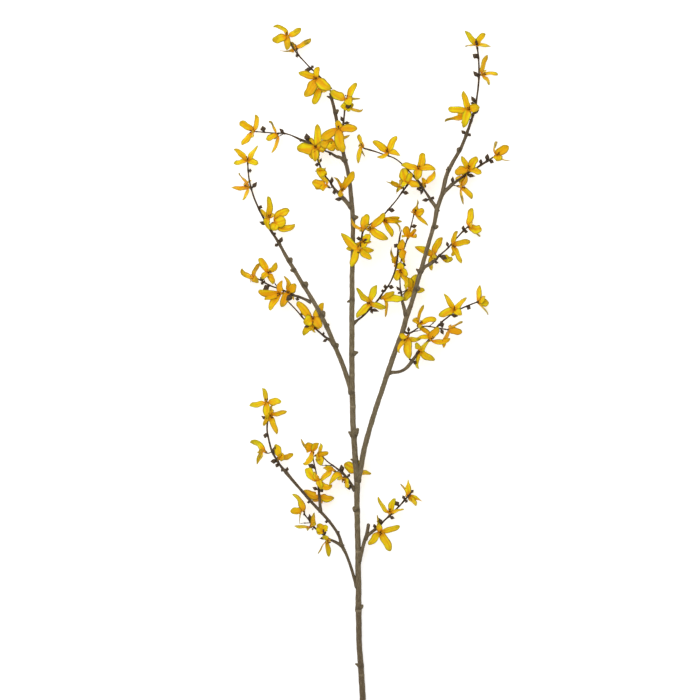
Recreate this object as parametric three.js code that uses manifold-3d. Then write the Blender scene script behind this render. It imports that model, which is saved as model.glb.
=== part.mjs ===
// A cut forsythia branch lying on a flat surface: grey-brown stems, dark flowering twigs with buds,
// and yellow four-petalled flowers, alone or in pairs on one joint.
import * as THREE from "three";
import { mergeVertices } from "three/addons/utils/BufferGeometryUtils.js";
import Module from "manifold-3d";

const wasm = await Module();
wasm.setup();

// Driving dimensions, in millimetres
const sheetStep = 1.25; // one step of the layout sheet that all x and y below are written in
const sheetMiddle = { x: 371.2, y: 367.53 }; // the sheet point above the part's origin, y counted downwards
const petalReach = 19; // throat to petal tip
const petalWidth = 9;
const petalThickness = 1.5;
const petalRise = 1.6; // how far a petal arches out over the straight line to its tip
const tubeRadius = 2.1;
const stalkRadius = 0.75;
const jointSwelling = 1.1; // how far the swollen joint under a flower stands out of its twig
const clearance = 0.3; // gap between neighbouring pieces
const smallestDetail = 0.05; // anything finer than this is flattened

// Heights are in millimetres above the surface that the branch lies on.
// route: x, y, height, radius; shoots (buds, thorns and knobs): foot x, y, tip x, y, thickness, rise
const stems = {
  main: {
    node: "main_stem",
    sides: 7,
    route: [
      [363, 708, 3.42, 3.8], [361.5, 676, 5, 3.7], [359.3, 645, 7, 3.5], [358.6, 610, 10, 3.7],
      [358.2, 560, 15, 3.6], [357, 505, 20.5, 3.4], [357, 480, 23, 3.8], [353.9, 440, 26, 3.5],
      [352.4, 400, 27.5, 3.6], [351.9, 365, 28.5, 3.4], [351.9, 320, 29, 3.3], [352.2, 275, 29.5, 3.1],
      [353, 240, 29.5, 2.75], [352.4, 212, 29, 2.9], [348, 172, 28.5, 2.5], [343.9, 156, 28, 2.4],
      [339.6, 135, 27.5, 2.3], [335, 113, 27, 2.1], [331.5, 98, 26.5, 1.9], [330.3, 94, 26.5, 1.3],
    ],
    shoots: [
      [360, 667, 355, 664.5, 1.6, 1], [359, 609, 363.4, 605.5, 2.2, 1], [357, 511, 352.7, 507, 2.6, 1],
      [354.5, 461, 350.2, 459.2, 1.4, 1], [354, 436, 348.2, 431.5, 2, 1], [354, 436, 358.6, 428, 2.6, 1],
      [352, 354, 358.5, 352.2, 2, 1], [352, 300, 346.8, 302.4, 1.4, 1], [353, 218, 358.6, 217.2, 2.4, 1],
      [345.5, 161, 347.9, 159.8, 1.4, 1], [334.5, 113, 338.8, 110, 2, 1], [331, 98, 326.5, 96.4, 1.2, 0],
    ],
  },
  top: {
    node: "main_stem",
    route: [
      [331.8, 98, 26.5, 1], [329, 87, 26, 0.95], [323, 80, 25, 0.9], [316, 73, 23.5, 0.9],
      [311, 68.5, 22.5, 1], [304, 61, 20, 0.85], [298.5, 55, 18.5, 1], [294, 49, 17, 0.85],
      [289.5, 40.5, 15.5, 0.8],
    ],
    shoots: [
      [298.5, 55, 295.5, 56.5, 3, 0.5], [311, 68, 313.6, 65.4, 2.8, 1], [311.5, 69.5, 304.4, 69.9, 3.6, 1],
      [298.3, 54, 295.6, 44, 1.8, 1.5], [329, 86, 332.6, 89.4, 1.6, 0],
    ],
  },
  topSide: {
    node: "main_stem",
    route: [
      [341.5, 136, 27.5, 1.2], [343.2, 126.5, 27.5, 1.2], [343.6, 121, 27, 1.2], [344.3, 115, 26.5, 1.1],
      [344.8, 108, 26, 1.2], [344.7, 103.5, 25.5, 1.1],
    ],
    shoots: [
      [343.4, 122, 340.7, 116.5, 1.8, 1], [344, 123.8, 349.8, 122.8, 2.6, 0.5],
    ],
  },
  innerLeft: {
    node: "main_stem",
    route: [
      [352, 209, 29, 2], [349, 205, 29, 2.7], [345, 200.3, 28.5, 2.7], [340, 195, 27.5, 2.1],
      [333, 187, 26.5, 1.4], [329, 180.5, 26, 0.95], [325, 175.5, 25.5, 0.9], [320.2, 166, 24.5, 0.95],
      [316.5, 157, 24, 0.9],
    ],
    shoots: [
      [332, 184.5, 332, 176.4, 3, 1], [337, 191.5, 332.2, 193, 4, 1], [344, 199.5, 334.5, 199.3, 3.2, 1],
      [319.5, 164.5, 314.6, 165, 3.2, 1], [319.5, 163, 321.6, 158, 2.2, 1], [322.5, 172, 314.3, 171, 2, 0],
    ],
  },
  centre: {
    node: "main_stem",
    route: [
      [355, 491, 22, 1.9], [351, 484, 22.5, 1.9], [347, 478, 23, 1.7], [342.5, 473, 23, 1.6],
      [337.5, 469, 23, 1.2], [333, 465.5, 23, 0.9], [328, 462, 22.5, 0.85], [323, 457, 22, 0.85],
    ],
    shoots: [
      [342, 474, 341.2, 464.3, 4, 1], [352.5, 486.5, 346.3, 487.8, 4.2, 2], [347, 478, 350, 473.5, 2.4, 1],
      [333, 465.5, 320.3, 465.3, 1.4, 0],
    ],
  },
  left: {
    node: "left_branch",
    sides: 6,
    route: [
      [352, 394, 28, 2.9], [347.9, 380, 28, 3], [341.6, 362.3, 28, 2.9], [333.6, 342.7, 28, 2.8],
      [322, 316.8, 28, 2.7], [308.6, 293.6, 27.5, 2.6], [298.8, 277.5, 27, 2.5], [288, 259.5, 26, 2.4],
      [279, 243.4, 25, 1.8], [266.7, 223.6, 23, 1.3], [255.2, 200.6, 20, 1.1], [249.5, 181.5, 17.5, 0.95],
      [248, 170, 16.5, 0.9], [247.6, 162.5, 16, 0.8],
    ],
    shoots: [
      [289, 261, 292.6, 258.4, 2.6, 0.5], [294, 270, 290.2, 270.8, 2, 0], [304, 286, 307.8, 282.3, 3, 0.5],
      [321, 315, 325.4, 311.8, 3, 0.5], [326, 326, 329.6, 325, 2.4, 0], [335, 346, 339, 344.6, 2.4, 0],
      [248.3, 170.5, 251.8, 170.6, 3.4, 0.5], [252, 188, 257, 181.6, 3.4, 1],
      [259.3, 209.5, 261.2, 204.8, 3.2, 1],
      [266.3, 225.3, 259, 221.7, 3.2, 1], [273.5, 232, 276.4, 234.3, 2.4, 1],
      [280, 244, 282.4, 236.8, 3.4, 1],
      [279, 243.5, 274.6, 246.6, 3, 1],
    ],
  },
  leftUpperTwig: {
    node: "left_branch",
    route: [
      [311.5, 302.5, 27, 1.8], [306, 299.7, 27, 1.8], [300, 297.2, 26, 1.7], [293, 295, 24.5, 1.7],
      [286, 291.5, 23, 1.1], [279, 288.5, 21, 0.9], [272, 286.3, 19.5, 0.95], [265, 282.8, 18, 0.95],
      [258.5, 279.2, 16, 0.9], [249.5, 276, 14, 0.8],
    ],
    shoots: [
      [292, 295.5, 286, 300.4, 4.6, 2], [298, 297, 297, 301, 3.4, 1], [269.5, 285.5, 262.8, 289.6, 4.6, 1],
      [263, 281.6, 260.2, 276.5, 3, 1], [263, 281.8, 261, 284.6, 3, 1], [278, 288, 273.7, 281.6, 1.3, 2],
    ],
  },
  leftLowerTwig: {
    node: "left_branch",
    route: [
      [334, 345.5, 27, 1.9], [330, 340.3, 26.5, 1.9], [325.5, 337.3, 25, 1.4], [318, 331, 23, 1.1],
      [312, 326, 21.5, 1], [303.5, 318.5, 20, 1.1], [297, 311, 19.5, 0.9], [288.5, 302, 19, 0.85],
    ],
    shoots: [
      [328, 339.8, 322.6, 341.8, 2.6, 1], [324, 336, 323.4, 331.6, 1.8, 1],
      [302, 317, 300.8, 312.4, 2.6, 1],
      [306, 320.5, 309.8, 327.3, 3.2, 6],
    ],
  },
  upperLeft: {
    node: "upper_left_twig",
    route: [
      [345.5, 161.5, 28, 2.2], [341, 158, 28, 2.1], [336, 156.5, 27.5, 2], [330.5, 153, 27, 1.3],
      [320.5, 149.3, 26, 0.8], [314, 146, 25.5, 0.85], [308.5, 142.3, 25, 1.9], [302.5, 140.5, 24, 1.7],
      [291, 135.2, 21.5, 0.8], [284.5, 133.4, 20, 0.95], [276, 133, 18, 0.8], [264, 132.1, 16, 0.8],
      [256, 131.4, 15, 0.7],
    ],
    shoots: [
      [308, 142, 306.3, 133.2, 4.8, 1], [302, 140.5, 299.2, 140.8, 2.4, 0],
      [284.5, 133, 279.2, 128.4, 2.8, 1],
      [284, 134, 278.3, 136.6, 1.8, 0], [264, 131.5, 262.5, 125.6, 4.6, 1],
      [331, 153.5, 328.8, 155, 2.4, 1],
      [338, 157.5, 332.2, 155.4, 1.5, 1],
    ],
  },
  inner: {
    node: "main_stem",
    route: [
      [353, 324, 29, 1.8], [357, 320.5, 29, 1.6], [361.5, 317.3, 29, 1.3], [370, 309, 28.5, 1.2],
      [376, 302.3, 28.5, 1.1], [379.5, 298, 28.5, 1.4], [382.5, 293.5, 28, 1.1], [388.5, 285.5, 27.5, 0.95],
      [394, 274, 27, 1.15], [396.8, 262, 26, 1.3], [398.3, 247, 25, 1.3], [400.3, 234, 24, 1.05],
      [401.4, 230, 24, 0.5],
    ],
    shoots: [
      [385.5, 290, 385, 284.1, 3, 1], [385, 290.5, 380.8, 291.4, 2.8, 1],
      [388.3, 286.5, 394.2, 287.5, 3.6, 1],
      [370.5, 309, 379.2, 311.5, 2.6, 0], [371, 308.5, 372.6, 314, 2.8, -1],
      [398, 247.5, 393.8, 244.2, 4, 1],
    ],
  },
  cross: {
    node: "cross_twig",
    route: [
      [357, 248, 30, 1.7], [360, 243.5, 31, 1.5], [361.5, 238.5, 31, 1.3], [363.5, 231, 31, 1],
      [370, 224.5, 31, 0.9], [377, 219.5, 30.5, 0.9], [384.5, 214, 30, 1], [388, 210, 29.5, 1.1],
      [396.5, 200, 28.5, 0.85], [401.5, 193, 28, 1], [406, 187, 27.5, 1.2], [410.6, 180.8, 27, 1.5],
    ],
    shoots: [
      [361, 238.5, 356.2, 238.5, 3.2, 1], [361.6, 240.3, 370.6, 239.7, 2.6, 1],
      [388.5, 210.3, 395, 210.8, 3.8, 0.5],
      [402, 192.5, 409, 193.4, 3.4, 1], [403.5, 190, 402, 182, 2.4, 1],
    ],
  },
  right: {
    node: "right_branch",
    sides: 6,
    route: [
      [357.5, 482, 23, 3], [360.5, 470, 24, 3.3], [364, 450, 25.5, 3.4], [369.3, 430, 27, 3.2],
      [375.4, 410, 28, 3.2], [382, 390, 28.5, 3.1], [388.7, 370, 29, 3.4], [395.5, 350, 29, 3.1],
      [403, 330, 29, 3.2], [406.3, 318, 29, 3.2], [411.5, 303, 29, 2.8], [419.5, 275, 29, 2.8],
      [423.5, 261, 28.5, 2.6], [429.6, 240, 28, 2.55], [434.5, 223, 27.5, 2.5], [437, 209, 27, 2.9],
      [441.8, 195, 26.5, 2.6], [447, 174, 25.5, 2.6], [454, 160, 24.5, 2.35], [461, 148, 23.5, 2.2],
      [468, 130, 22, 1.85], [473, 115, 20.5, 1.4], [477, 97, 18.5, 1.2], [479, 77, 17, 1.15],
      [478.6, 57, 16, 1], [477.4, 47, 15.5, 0.85],
    ],
    shoots: [
      [419, 272, 415.8, 269, 1.6, 0.5], [435, 228, 438.6, 226.6, 2.2, 0.5],
      [416, 290, 420.4, 287.4, 2.4, 0],
      [460, 151, 456.4, 149.2, 2.4, 0.5], [450, 171, 446, 171.4, 2.4, 0.5],
      [466, 134, 462.6, 131.6, 1.8, 0.5],
      [467.5, 133, 470.6, 135.4, 1.8, 0.5], [478.2, 58, 472.6, 53.8, 4.4, 1],
      [478.6, 77.5, 473.2, 70.8, 3.4, 1],
      [475.5, 103.5, 470.4, 102.6, 2.6, 1], [475.5, 103, 471.2, 96, 3.2, 1],
      [472.8, 115, 479.4, 109.6, 2, -1],
    ],
  },
  rightSide: {
    node: "right_branch",
    route: [
      [444.5, 191, 26, 2.2], [449, 187.5, 25.5, 2.4], [452, 184.5, 25, 2.2], [460, 178.8, 24, 1.5],
      [468, 173, 22.5, 1.1], [475, 169, 21, 1.2], [480, 165.5, 20, 1.4], [489, 160, 18.5, 1.4],
      [493.5, 157, 17, 0.8],
    ],
    shoots: [
      [451.5, 184, 452.9, 176.3, 2.8, 1], [466, 174.8, 475.4, 176.3, 3.2, 0],
      [480.5, 164.8, 481, 158.6, 3, 1],
      [486.5, 161.5, 487.8, 153.4, 3.6, 0.5], [488.5, 160, 494, 162.6, 3.4, 0.5],
    ],
  },
  rightInner: {
    node: "right_branch",
    route: [
      [406.2, 316, 29, 2.3], [403.5, 306, 29, 2.3], [402, 300, 28.5, 1.7], [401.6, 295.5, 28, 1.3],
      [400.3, 288, 28, 0.9], [399.8, 276, 27.5, 0.85], [400, 268, 27, 0.85], [402.3, 255, 26, 0.85],
      [404.3, 248, 25.5, 0.85], [409, 234, 24.5, 0.8], [411.8, 223, 23.5, 0.8], [413.8, 215, 23, 0.7],
    ],
    shoots: [
      [411.3, 227, 417.2, 225.2, 3.4, 0.5], [401.8, 296, 406.4, 290.4, 1.8, 0],
      [400.6, 291.5, 396, 286.2, 2.4, 1],
      [400.8, 291.5, 397.4, 294, 2, -1], [400.6, 263.5, 406.2, 265.4, 3.4, 1],
    ],
  },
  rightThin: {
    node: "right_branch",
    route: [
      [403.5, 331.5, 28.5, 1.3], [408.3, 333.4, 31, 1.2], [412, 332, 31, 1], [419, 327.4, 30, 0.85],
      [424, 326.3, 29.5, 0.8], [430, 326.6, 29, 0.8], [436, 327.8, 28.5, 0.85], [446, 329.4, 27.5, 0.8],
    ],
    shoots: [
      [408.6, 333, 408.5, 326.4, 2.6, 1], [440.5, 329, 443.6, 334.8, 3, 0.5],
      [429, 326.5, 436, 320.6, 1.4, 0.5],
      [412, 331.6, 421, 330.2, 1.4, 0],
    ],
  },
  rightCross: {
    node: "right_cross_twig",
    route: [
      [438.3, 212, 26.5, 1.8], [434, 204.5, 26, 2.4], [431, 200.5, 25.5, 2.3], [428.5, 196.5, 25, 1.7],
      [424.5, 190.5, 24, 1.3], [418.3, 181.3, 23, 1.6], [413.5, 176, 22.5, 1.4], [409.5, 171.5, 22, 1],
      [401, 163, 21.5, 0.85], [394, 158, 21, 0.85], [382, 153.8, 20, 0.85], [376, 151.7, 19.5, 0.9],
      [369, 149.6, 19, 1.3], [364.2, 148.3, 18.5, 0.8],
    ],
    shoots: [
      [431.5, 200.5, 433.9, 196.5, 3, 1], [429.5, 200, 421.6, 200.3, 3, 1],
      [422, 187.5, 416.2, 189.3, 4.4, 1],
      [422, 188.5, 420.8, 195, 2.6, 1],
    ],
  },
  rightMiddle: {
    node: "right_middle_twig",
    route: [
      [420, 273.5, 29, 1.9], [425, 267, 29, 2.2], [430, 264, 28.5, 2.4], [434.5, 260.5, 28, 2],
      [438.5, 256.5, 27.5, 1.5], [443, 252.5, 26.5, 1], [448, 248, 25, 1], [454.5, 240.5, 22.5, 0.85],
      [463, 231.3, 19.5, 1.1], [467.6, 226.9, 17.5, 0.8],
    ],
    shoots: [
      [433.5, 262, 438.8, 262.9, 2.2, 0], [448.4, 247.5, 446.8, 241.3, 2.6, 1],
      [463.3, 231.5, 463.4, 225.2, 2.8, 1],
      [463.3, 231.3, 468.2, 231.9, 3, 0.5],
    ],
  },
  rightLow: {
    node: "right_low_twig",
    route: [
      [387.5, 373.2, 29, 2], [392, 372.4, 29, 2.1], [397, 372.2, 29, 2.1], [401.5, 371, 29, 2],
      [406, 368.3, 29, 2.2], [409.5, 364.5, 28.5, 2.4], [412.3, 360.7, 28.5, 2.4], [415.5, 356, 28, 1.7],
      [418, 351.5, 27.5, 1.3], [424, 345, 26, 1.1], [429.5, 338.5, 25, 1.1], [433.5, 331.5, 24, 1.1],
      [437.5, 326.5, 23.5, 1.2], [442, 321.7, 23, 1.1], [448, 317, 22, 1], [454, 312, 21, 0.95],
      [462, 308.2, 19.5, 0.95], [470, 304.8, 18, 0.95], [477.3, 302, 17, 0.9],
    ],
    shoots: [
      [412.5, 361, 417, 363.8, 3.6, 0.5], [411.5, 361.5, 408.8, 357.4, 1.8, 0],
      [439, 325.3, 444.3, 323.6, 6, 1],
      [450.8, 314.8, 458.4, 316.1, 3.4, 0.5], [466.5, 306.4, 470.8, 308.9, 3.8, 0.5],
    ],
  },
  lowerLeft: {
    node: "lower_left_twig",
    route: [
      [357, 588, 12.5, 1.9], [354, 578, 13.5, 2.1], [350.5, 566, 14.5, 1.9], [346, 554, 16, 1.9],
      [342, 546, 17, 2.5], [338.5, 535, 18, 1.9], [330.5, 523, 19, 1.9], [320.3, 511.5, 20, 2.1],
      [310, 500.5, 20.5, 1.8], [300.5, 489.5, 20.5, 1.8], [291, 478.5, 20, 2.1], [286, 472.3, 19.5, 2.4],
      [281, 466.5, 19, 1.5], [277, 460.5, 18, 1.3], [272, 451.5, 17, 1.35], [268.8, 440, 16, 1.2],
      [267, 430, 15, 1.15], [267.6, 418, 14.5, 1.1], [268, 406, 14, 0.9],
    ],
    shoots: [
      [338, 534, 339, 530.8, 2, 1], [329, 521.5, 324.4, 522, 2.4, 1], [311, 502, 306.8, 502.4, 2.4, 1],
      [303, 492, 300.3, 488, 2, 1], [287, 472.5, 287.4, 466.8, 2.8, 1], [277.5, 462, 270.2, 461.4, 3.8, 1],
      [278, 462.5, 275.8, 467.6, 3.2, -1], [274, 455, 275, 446.5, 4, 5], [267.8, 436, 263, 435, 4.4, 1],
      [267.4, 420, 261, 415.6, 2.6, 1], [281.5, 467.5, 282, 472.5, 1.8, 0],
    ],
  },
  lowerMiddle: {
    node: "lower_left_twig",
    route: [
      [320.5, 512.5, 20, 1.8], [319.9, 503, 21, 2], [319.2, 495, 21.5, 1.5], [318.3, 487, 22, 1.2],
      [317.5, 480, 22, 0.9], [316.5, 474, 22, 0.8], [314.6, 466, 21.5, 0.85], [313.4, 460, 21, 0.8],
      [312.4, 453, 20.5, 0.9],
    ],
    shoots: [
      [315.2, 468.3, 308, 464.6, 4.4, 2], [318.3, 490, 312.2, 487, 3, 1], [319, 492, 323.4, 488.4, 3.8, 2],
    ],
  },
  lowerSide: {
    node: "lower_left_twig",
    route: [
      [343.5, 547, 17, 2], [338, 543.5, 17, 2], [333, 541, 17, 1.8], [328, 538.5, 17, 1.2],
      [321, 533, 17.5, 1.2], [313, 526.3, 18, 1.2], [309.8, 521.3, 18, 1], [304, 514, 17.5, 0.8],
    ],
    shoots: [
      [310, 521.5, 309.4, 513.8, 3, 1], [323, 534.5, 323.6, 529.4, 4, 4], [326, 538, 319.4, 538.8, 2.6, 1],
      [310.8, 523, 300, 523.4, 1, 0], [305, 515.5, 303.4, 513.5, 2.4, 0],
    ],
  },
  lowerRight: {
    node: "lower_right_twig",
    route: [
      [358.7, 563, 15, 2.2], [361, 555, 15.5, 2.5], [363.4, 545, 16.5, 2.3], [366.2, 537.5, 17, 2.6],
      [371, 532.8, 17.5, 2.2], [376, 529, 18, 1.9], [380, 525.2, 18.3, 1.6], [385.5, 519.5, 18.5, 1],
      [389, 516.5, 18.5, 1.4], [395, 510.5, 18.5, 1], [400.5, 505, 18, 1], [404.5, 500.5, 17.5, 1.3],
      [408, 496.5, 17, 1], [411, 493, 16.5, 0.9],
    ],
    shoots: [
      [366, 539, 368.6, 524.6, 4.4, 2], [410.5, 493.5, 413.8, 489.7, 2.6, 0.5],
      [405, 500.5, 402.6, 495.3, 2.8, 1],
      [404.5, 500, 407.8, 502.2, 3.2, 0], [399, 506.5, 395.3, 501, 4, 1],
      [389.3, 516.8, 394.9, 518.4, 3, 0],
      [375, 529.5, 374, 523.8, 2.8, 1], [380.3, 525, 379, 518, 4.6, 1],
    ],
  },
};

// Flowers by node. root: the joint's x, y on the twig; throat: x, y and height over that joint;
// petals: tip x, y, the share of the petal's length that rises (+) or falls (-), and its breadth seen from
// above, where 1 is its full width; reach: a shorter throat to tip length
const floor = "floor"; // a petal whose tip rests on the surface
const flowers = [
  { node: "flowers_lower_left_tip", stem: "lowerLeft", root: [268, 406], throat: [266.8, 402, 5],
    petals: [[262, 388, 0.1, 0.65], [249.3, 404.9, 0.1, 0.75], [281.4, 401.5, 0.2, 0.95],
             [265.6, 418.5, 0.3, 0.85]] },
  { node: "flowers_lower_left_tip", stem: "lowerLeft", root: [268, 417], throat: [270.8, 416, 4.5],
    petals: [[286.9, 411.2, 0.1, 0.7], [276.8, 434.4, 0.1, 0.72], [263.7, 426, -0.1, 0.6],
             [271.8, 404.5, 0.4, 0.35]] },
  { node: "flowers_lower_left_low", stem: "lowerLeft", root: [272, 452], throat: [262.8, 450, 0],
    petals: [[250, 442.5, 0.2, 0.7], [256.5, 464.9, 0.1, 0.55], [258.2, 456.3, 0.5, 0.6],
             [258.5, 451, floor, 0.5]] },
  { node: "flowers_lower_left_low", stem: "lowerLeft", root: [278, 460], throat: [279.6, 458.6, 4],
    petals: [[292.9, 453.3, 0.2, 0.75], [275.3, 444.3, 0.2, 1], [284.5, 456, 0.7, 0.9],
             [279, 455, 0.8, 0.7]] },
  { node: "flowers_lower_middle_tip", stem: "lowerMiddle", root: [312.8, 456], throat: [313, 450, 3],
    petals: [[301.4, 438.4, 0.1, 0.35], [317.3, 441.8, 0.6, 0.8], [303, 463.2, -0.1, 0.7],
             [304.3, 447, 0.3, 1.3]] },
  { node: "flowers_lower_middle_tip", stem: "lowerMiddle", root: [313, 457], throat: [319, 454.5, 4],
    petals: [[320.6, 442.5, 0.1, 0.55], [328.5, 453, 0.3, 0.7], [321, 465.6, 0.1, 1.05],
             [316, 459, 0.7, 0.8]] },
  { node: "flowers_lower_middle", stem: "lowerMiddle", root: [318, 482], throat: [317.7, 479.5, 5],
    petals: [[306.8, 467.9, 0.1, 1.05], [331.8, 484.2, 0.2, 0.8], [315.5, 472, 0.8, 0.6],
             [321.5, 489, 0.4, 0.85]] },
  { node: "flowers_lower_middle", stem: "lowerMiddle", root: [319, 494], throat: [319, 496.5, -5],
    petals: [[303.4, 490.4, 0, 1.05], [334.2, 497.8, 0, 1], [314, 502, -0.6, 0.9],
             [321, 503, -0.9, 0.6]] },
  { node: "flowers_centre", stem: "centre", root: [339, 471], throat: [331.5, 468.8, 2.5],
    petals: [[319.5, 480.3, 0.2, 0.7], [323.5, 467.5, 0.5, 0.45], [329.5, 474, -0.8, 0.5],
             [326, 471, -0.9, 0.6]] },
  { node: "flowers_centre", stem: "centre", root: [347, 478], throat: [343.5, 480, 5],
    petals: [[329.2, 486, 0.2, 0.8], [348.3, 487, 0.5, 0.75], [339.5, 476, 0.5, 0.7],
             [346, 476.5, -0.8, 0.5]] },
  { node: "flower_fork", stem: "main", root: [357, 478], throat: [357, 471.5, -7],
    petals: [[344, 464.3, 0, 1.35], [371.4, 473.6, 0, 0.6], [356, 459, -0.5, 0.7],
             [357, 484, -0.8, 0.7]] },
  { node: "flowers_lower_side_tip", stem: "lowerSide", root: [304, 514], throat: [302.5, 509.5, 2],
    petals: [[292.2, 494.2, 0.1, 0.5], [290.2, 511.2, 0.2, 0.95], [299.2, 524.3, -0.2, 0.2],
             [300.5, 505.5, -0.8, 0.6]] },
  { node: "flowers_lower_side_tip", stem: "lowerSide", root: [314, 527.5], throat: [311.7, 527.3, 4],
    petals: [[313.6, 512.3, 0.2, 0.7], [294.2, 526.8, 0.1, 0.45], [306.5, 528, 0.2, 0.35],
             [314, 522, 0.5, 0.6]] },
  { node: "flowers_lower_side_base", stem: "lowerSide", root: [322, 534], throat: [322, 530.5, 5],
    petals: [[328, 527, 0.4, 1], [316.8, 527, 0.4, 1], [322.3, 523.6, 0.4, 1.15],
             [319.5, 535, 0.2, 0.9]] },
  { node: "flowers_lower_side_base", stem: "lowerSide", root: [328.5, 539], throat: [327.8, 540.5, 4],
    petals: [[328.3, 556.9, 0.1, 0.65], [317.7, 554.4, 0, 0.15], [322.5, 536.5, 0.6, 0.6],
             [331, 541.5, -0.8, 0.5]] },
  { node: "flower_lower_right_base", stem: "lowerRight", root: [378, 527.5], throat: [380.3, 532.5, 6],
    petals: [[400, 526.3, 0.1, 0.78], [390.2, 551.2, 0.1, 1.1], [368.6, 544.9, 0.2, 0.92],
             [377.4, 514.7, -0.4, 0.15]] },
  { node: "flower_lower_right_middle", stem: "lowerRight", root: [389, 516], throat: [389.5, 511.5, 3.5],
    petals: [[378.7, 496.5, 0.1, 0.55], [395, 498, 0.1, 0.82], [403.8, 508.7, -0.1, 0.4],
             [391.5, 515, -0.8, 0.5]] },
  { node: "flower_lower_right_tip", stem: "lowerRight", root: [408, 496.3], throat: [409, 496.6, -3.5],
    petals: [[408.6, 479.8, 0.1, 0.5], [400.2, 484.2, floor, 0.22], [422.8, 501.5, 0.1, 0.4],
             [416.3, 506.2, -0.2, 0.58]] },
  { node: "flowers_right_middle_base", stem: "rightMiddle", root: [436, 258.7], throat: [433, 254.5, -5],
    petals: [[442.7, 237.6, 0.1, 0.95], [414.8, 246.8, 0, 0.85], [431.2, 270.6, 0.1, 0.7],
             [436.5, 256, 0.9, 0.8]] },
  { node: "flowers_right_middle_base", stem: "rightMiddle", root: [440, 255.8], throat: [444, 257.8, -0.5],
    petals: [[452.9, 258.6, 0.2, 0.7], [449.3, 262.2, 0.2, 0.65], [448.5, 256, 0.1, 0.7],
             [449, 260, -0.4, 0.6]], reach: 11 },
  { node: "flower_right_middle", stem: "rightMiddle", root: [451.3, 244.3], throat: [453.5, 246, 4],
    petals: [[457.9, 231.6, 0.1, 0.6], [470.5, 242, 0.1, 0.78], [461, 263.6, 0.1, 0.68],
             [451.5, 256, 0.1, 0.55]] },
  { node: "flower_right_middle_tip", stem: "rightMiddle", root: [467.4, 227.1], throat: [469.8, 226.8, -2.5],
    petals: [[472.4, 207.9, 0.1, 0.92], [482.2, 228.3, 0.3, 1.1], [480.2, 236.5, floor, 0.25],
             [472, 223, 0.9, 0.4]] },
  { node: "flowers_right_low", stem: "rightLow", root: [417.5, 352], throat: [419.5, 351, 5],
    petals: [[416.8, 342.4, 0.5, 0.8], [428.5, 341, 0.2, 0.6], [434.9, 359.9, 0.1, 0.88],
             [418.6, 369.2, 0.1, 0.52]] },
  { node: "flowers_right_low", stem: "rightLow", root: [430.5, 337.3], throat: [431.2, 339, 5],
    petals: [[419.3, 329.6, 0.2, 0.62], [438, 327, 0.3, 1], [450.3, 338.6, 0.1, 0.7],
             [415, 339.4, 0.1, 0.6]] },
  { node: "flower_right_low_middle", stem: "rightLow", root: [454, 312], throat: [454.2, 309.3, 5],
    petals: [[443.8, 293.4, 0.1, 0.7], [466.4, 297.3, 0.2, 0.6], [438.6, 316, 0.1, 1],
             [461.5, 315.4, 0.5, 0.95]] },
  { node: "flower_right_low_tip", stem: "rightLow", root: [477.2, 302], throat: [479, 302.3, -2],
    petals: [[480.8, 285.1, 0.1, 0.65], [484.8, 296.6, 0.5, 0.7], [489.2, 304.4, 0.3, 1],
             [488.3, 315.2, floor, 0.22]] },
  { node: "flower_right_thin_tip", stem: "rightThin", root: [445.5, 329.4], throat: [450.3, 330, 0],
    petals: [[462.4, 321.2, 0.1, 0.32], [461.9, 332.8, 0.3, 0.95], [443.6, 348, 0.1, 0.62],
             [448, 326.5, -0.6, 0.6]] },
  { node: "flowers_right_thin", stem: "rightThin", root: [419.5, 327.2], throat: [419.8, 323, 4],
    petals: [[412.4, 320.8, 0.5, 0.85], [424.1, 305.2, 0.1, 0.42], [436.3, 320.4, 0.1, 0.75],
             [417.5, 327.5, 0.6, 0.5]] },
  { node: "flowers_right_thin", stem: "rightThin", root: [407.5, 333.3], throat: [406, 337.5, 4],
    petals: [[398.6, 334.3, 0.4, 0.75], [399.4, 353, 0.1, 0.6], [409.3, 358.9, 0.1, 1.15],
             [420.8, 339.6, -0.3, 0.65]] },
  { node: "flower_right_inner_tip", stem: "rightInner", root: [413.6, 216], throat: [414.8, 212.7, 2.5],
    petals: [[424.4, 211.6, 0.3, 1.1], [428.5, 225, -0.1, 0.6], [417.8, 199.2, -0.1, 0.2],
             [411, 213, 0.6, 0.6]] },
  { node: "flowers_right_inner_upper", stem: "rightInner", root: [407, 240], throat: [408.6, 236.3, 4],
    petals: [[405, 226.3, 0.5, 1], [415.6, 229.2, 0.3, 0.5], [415.9, 238.3, 0.5, 0.55],
             [402, 236.8, 0.5, 0.5]] },
  { node: "flowers_right_inner_upper", stem: "rightInner", root: [404.8, 246.5], throat: [402.2, 250.3, 4.5],
    petals: [[402.3, 239.2, 0.3, 1], [400.6, 259, 0.3, 0.95], [403.8, 263.6, 0, 0.5],
             [398.5, 249.5, -0.6, 0.7]] },
  { node: "flowers_right_inner_lower", stem: "rightInner", root: [400, 267], throat: [400.4, 270.8, 4.5],
    petals: [[407.8, 275, 0.4, 0.85], [405.3, 290, 0, 0.5], [396, 280.8, 0.2, 0.95],
             [399, 262.3, 0.2, 1]] },
  { node: "flowers_right_inner_lower", stem: "rightInner", root: [400, 267], throat: [395.3, 262.5, -3],
    petals: [[392.6, 246.8, 0, 0.3], [393, 257, 0.6, 0.9], [398.5, 254, -0.8, 0.4],
             [397.5, 268.5, -0.9, 0.4]] },
  { node: "flower_right_inner_base", stem: "rightInner", root: [401, 292.5], throat: [409.8, 289, -4],
    petals: [[416.6, 274.3, 0.1, 1.25], [406, 278, 0.4, 1.25], [424.8, 290.6, -0.2, 0.75],
             [403.3, 300.8, -0.1, 0.95]] },
  { node: "flowers_inner", stem: "inner", root: [371.5, 307.5], throat: [369.5, 303, 5],
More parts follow.
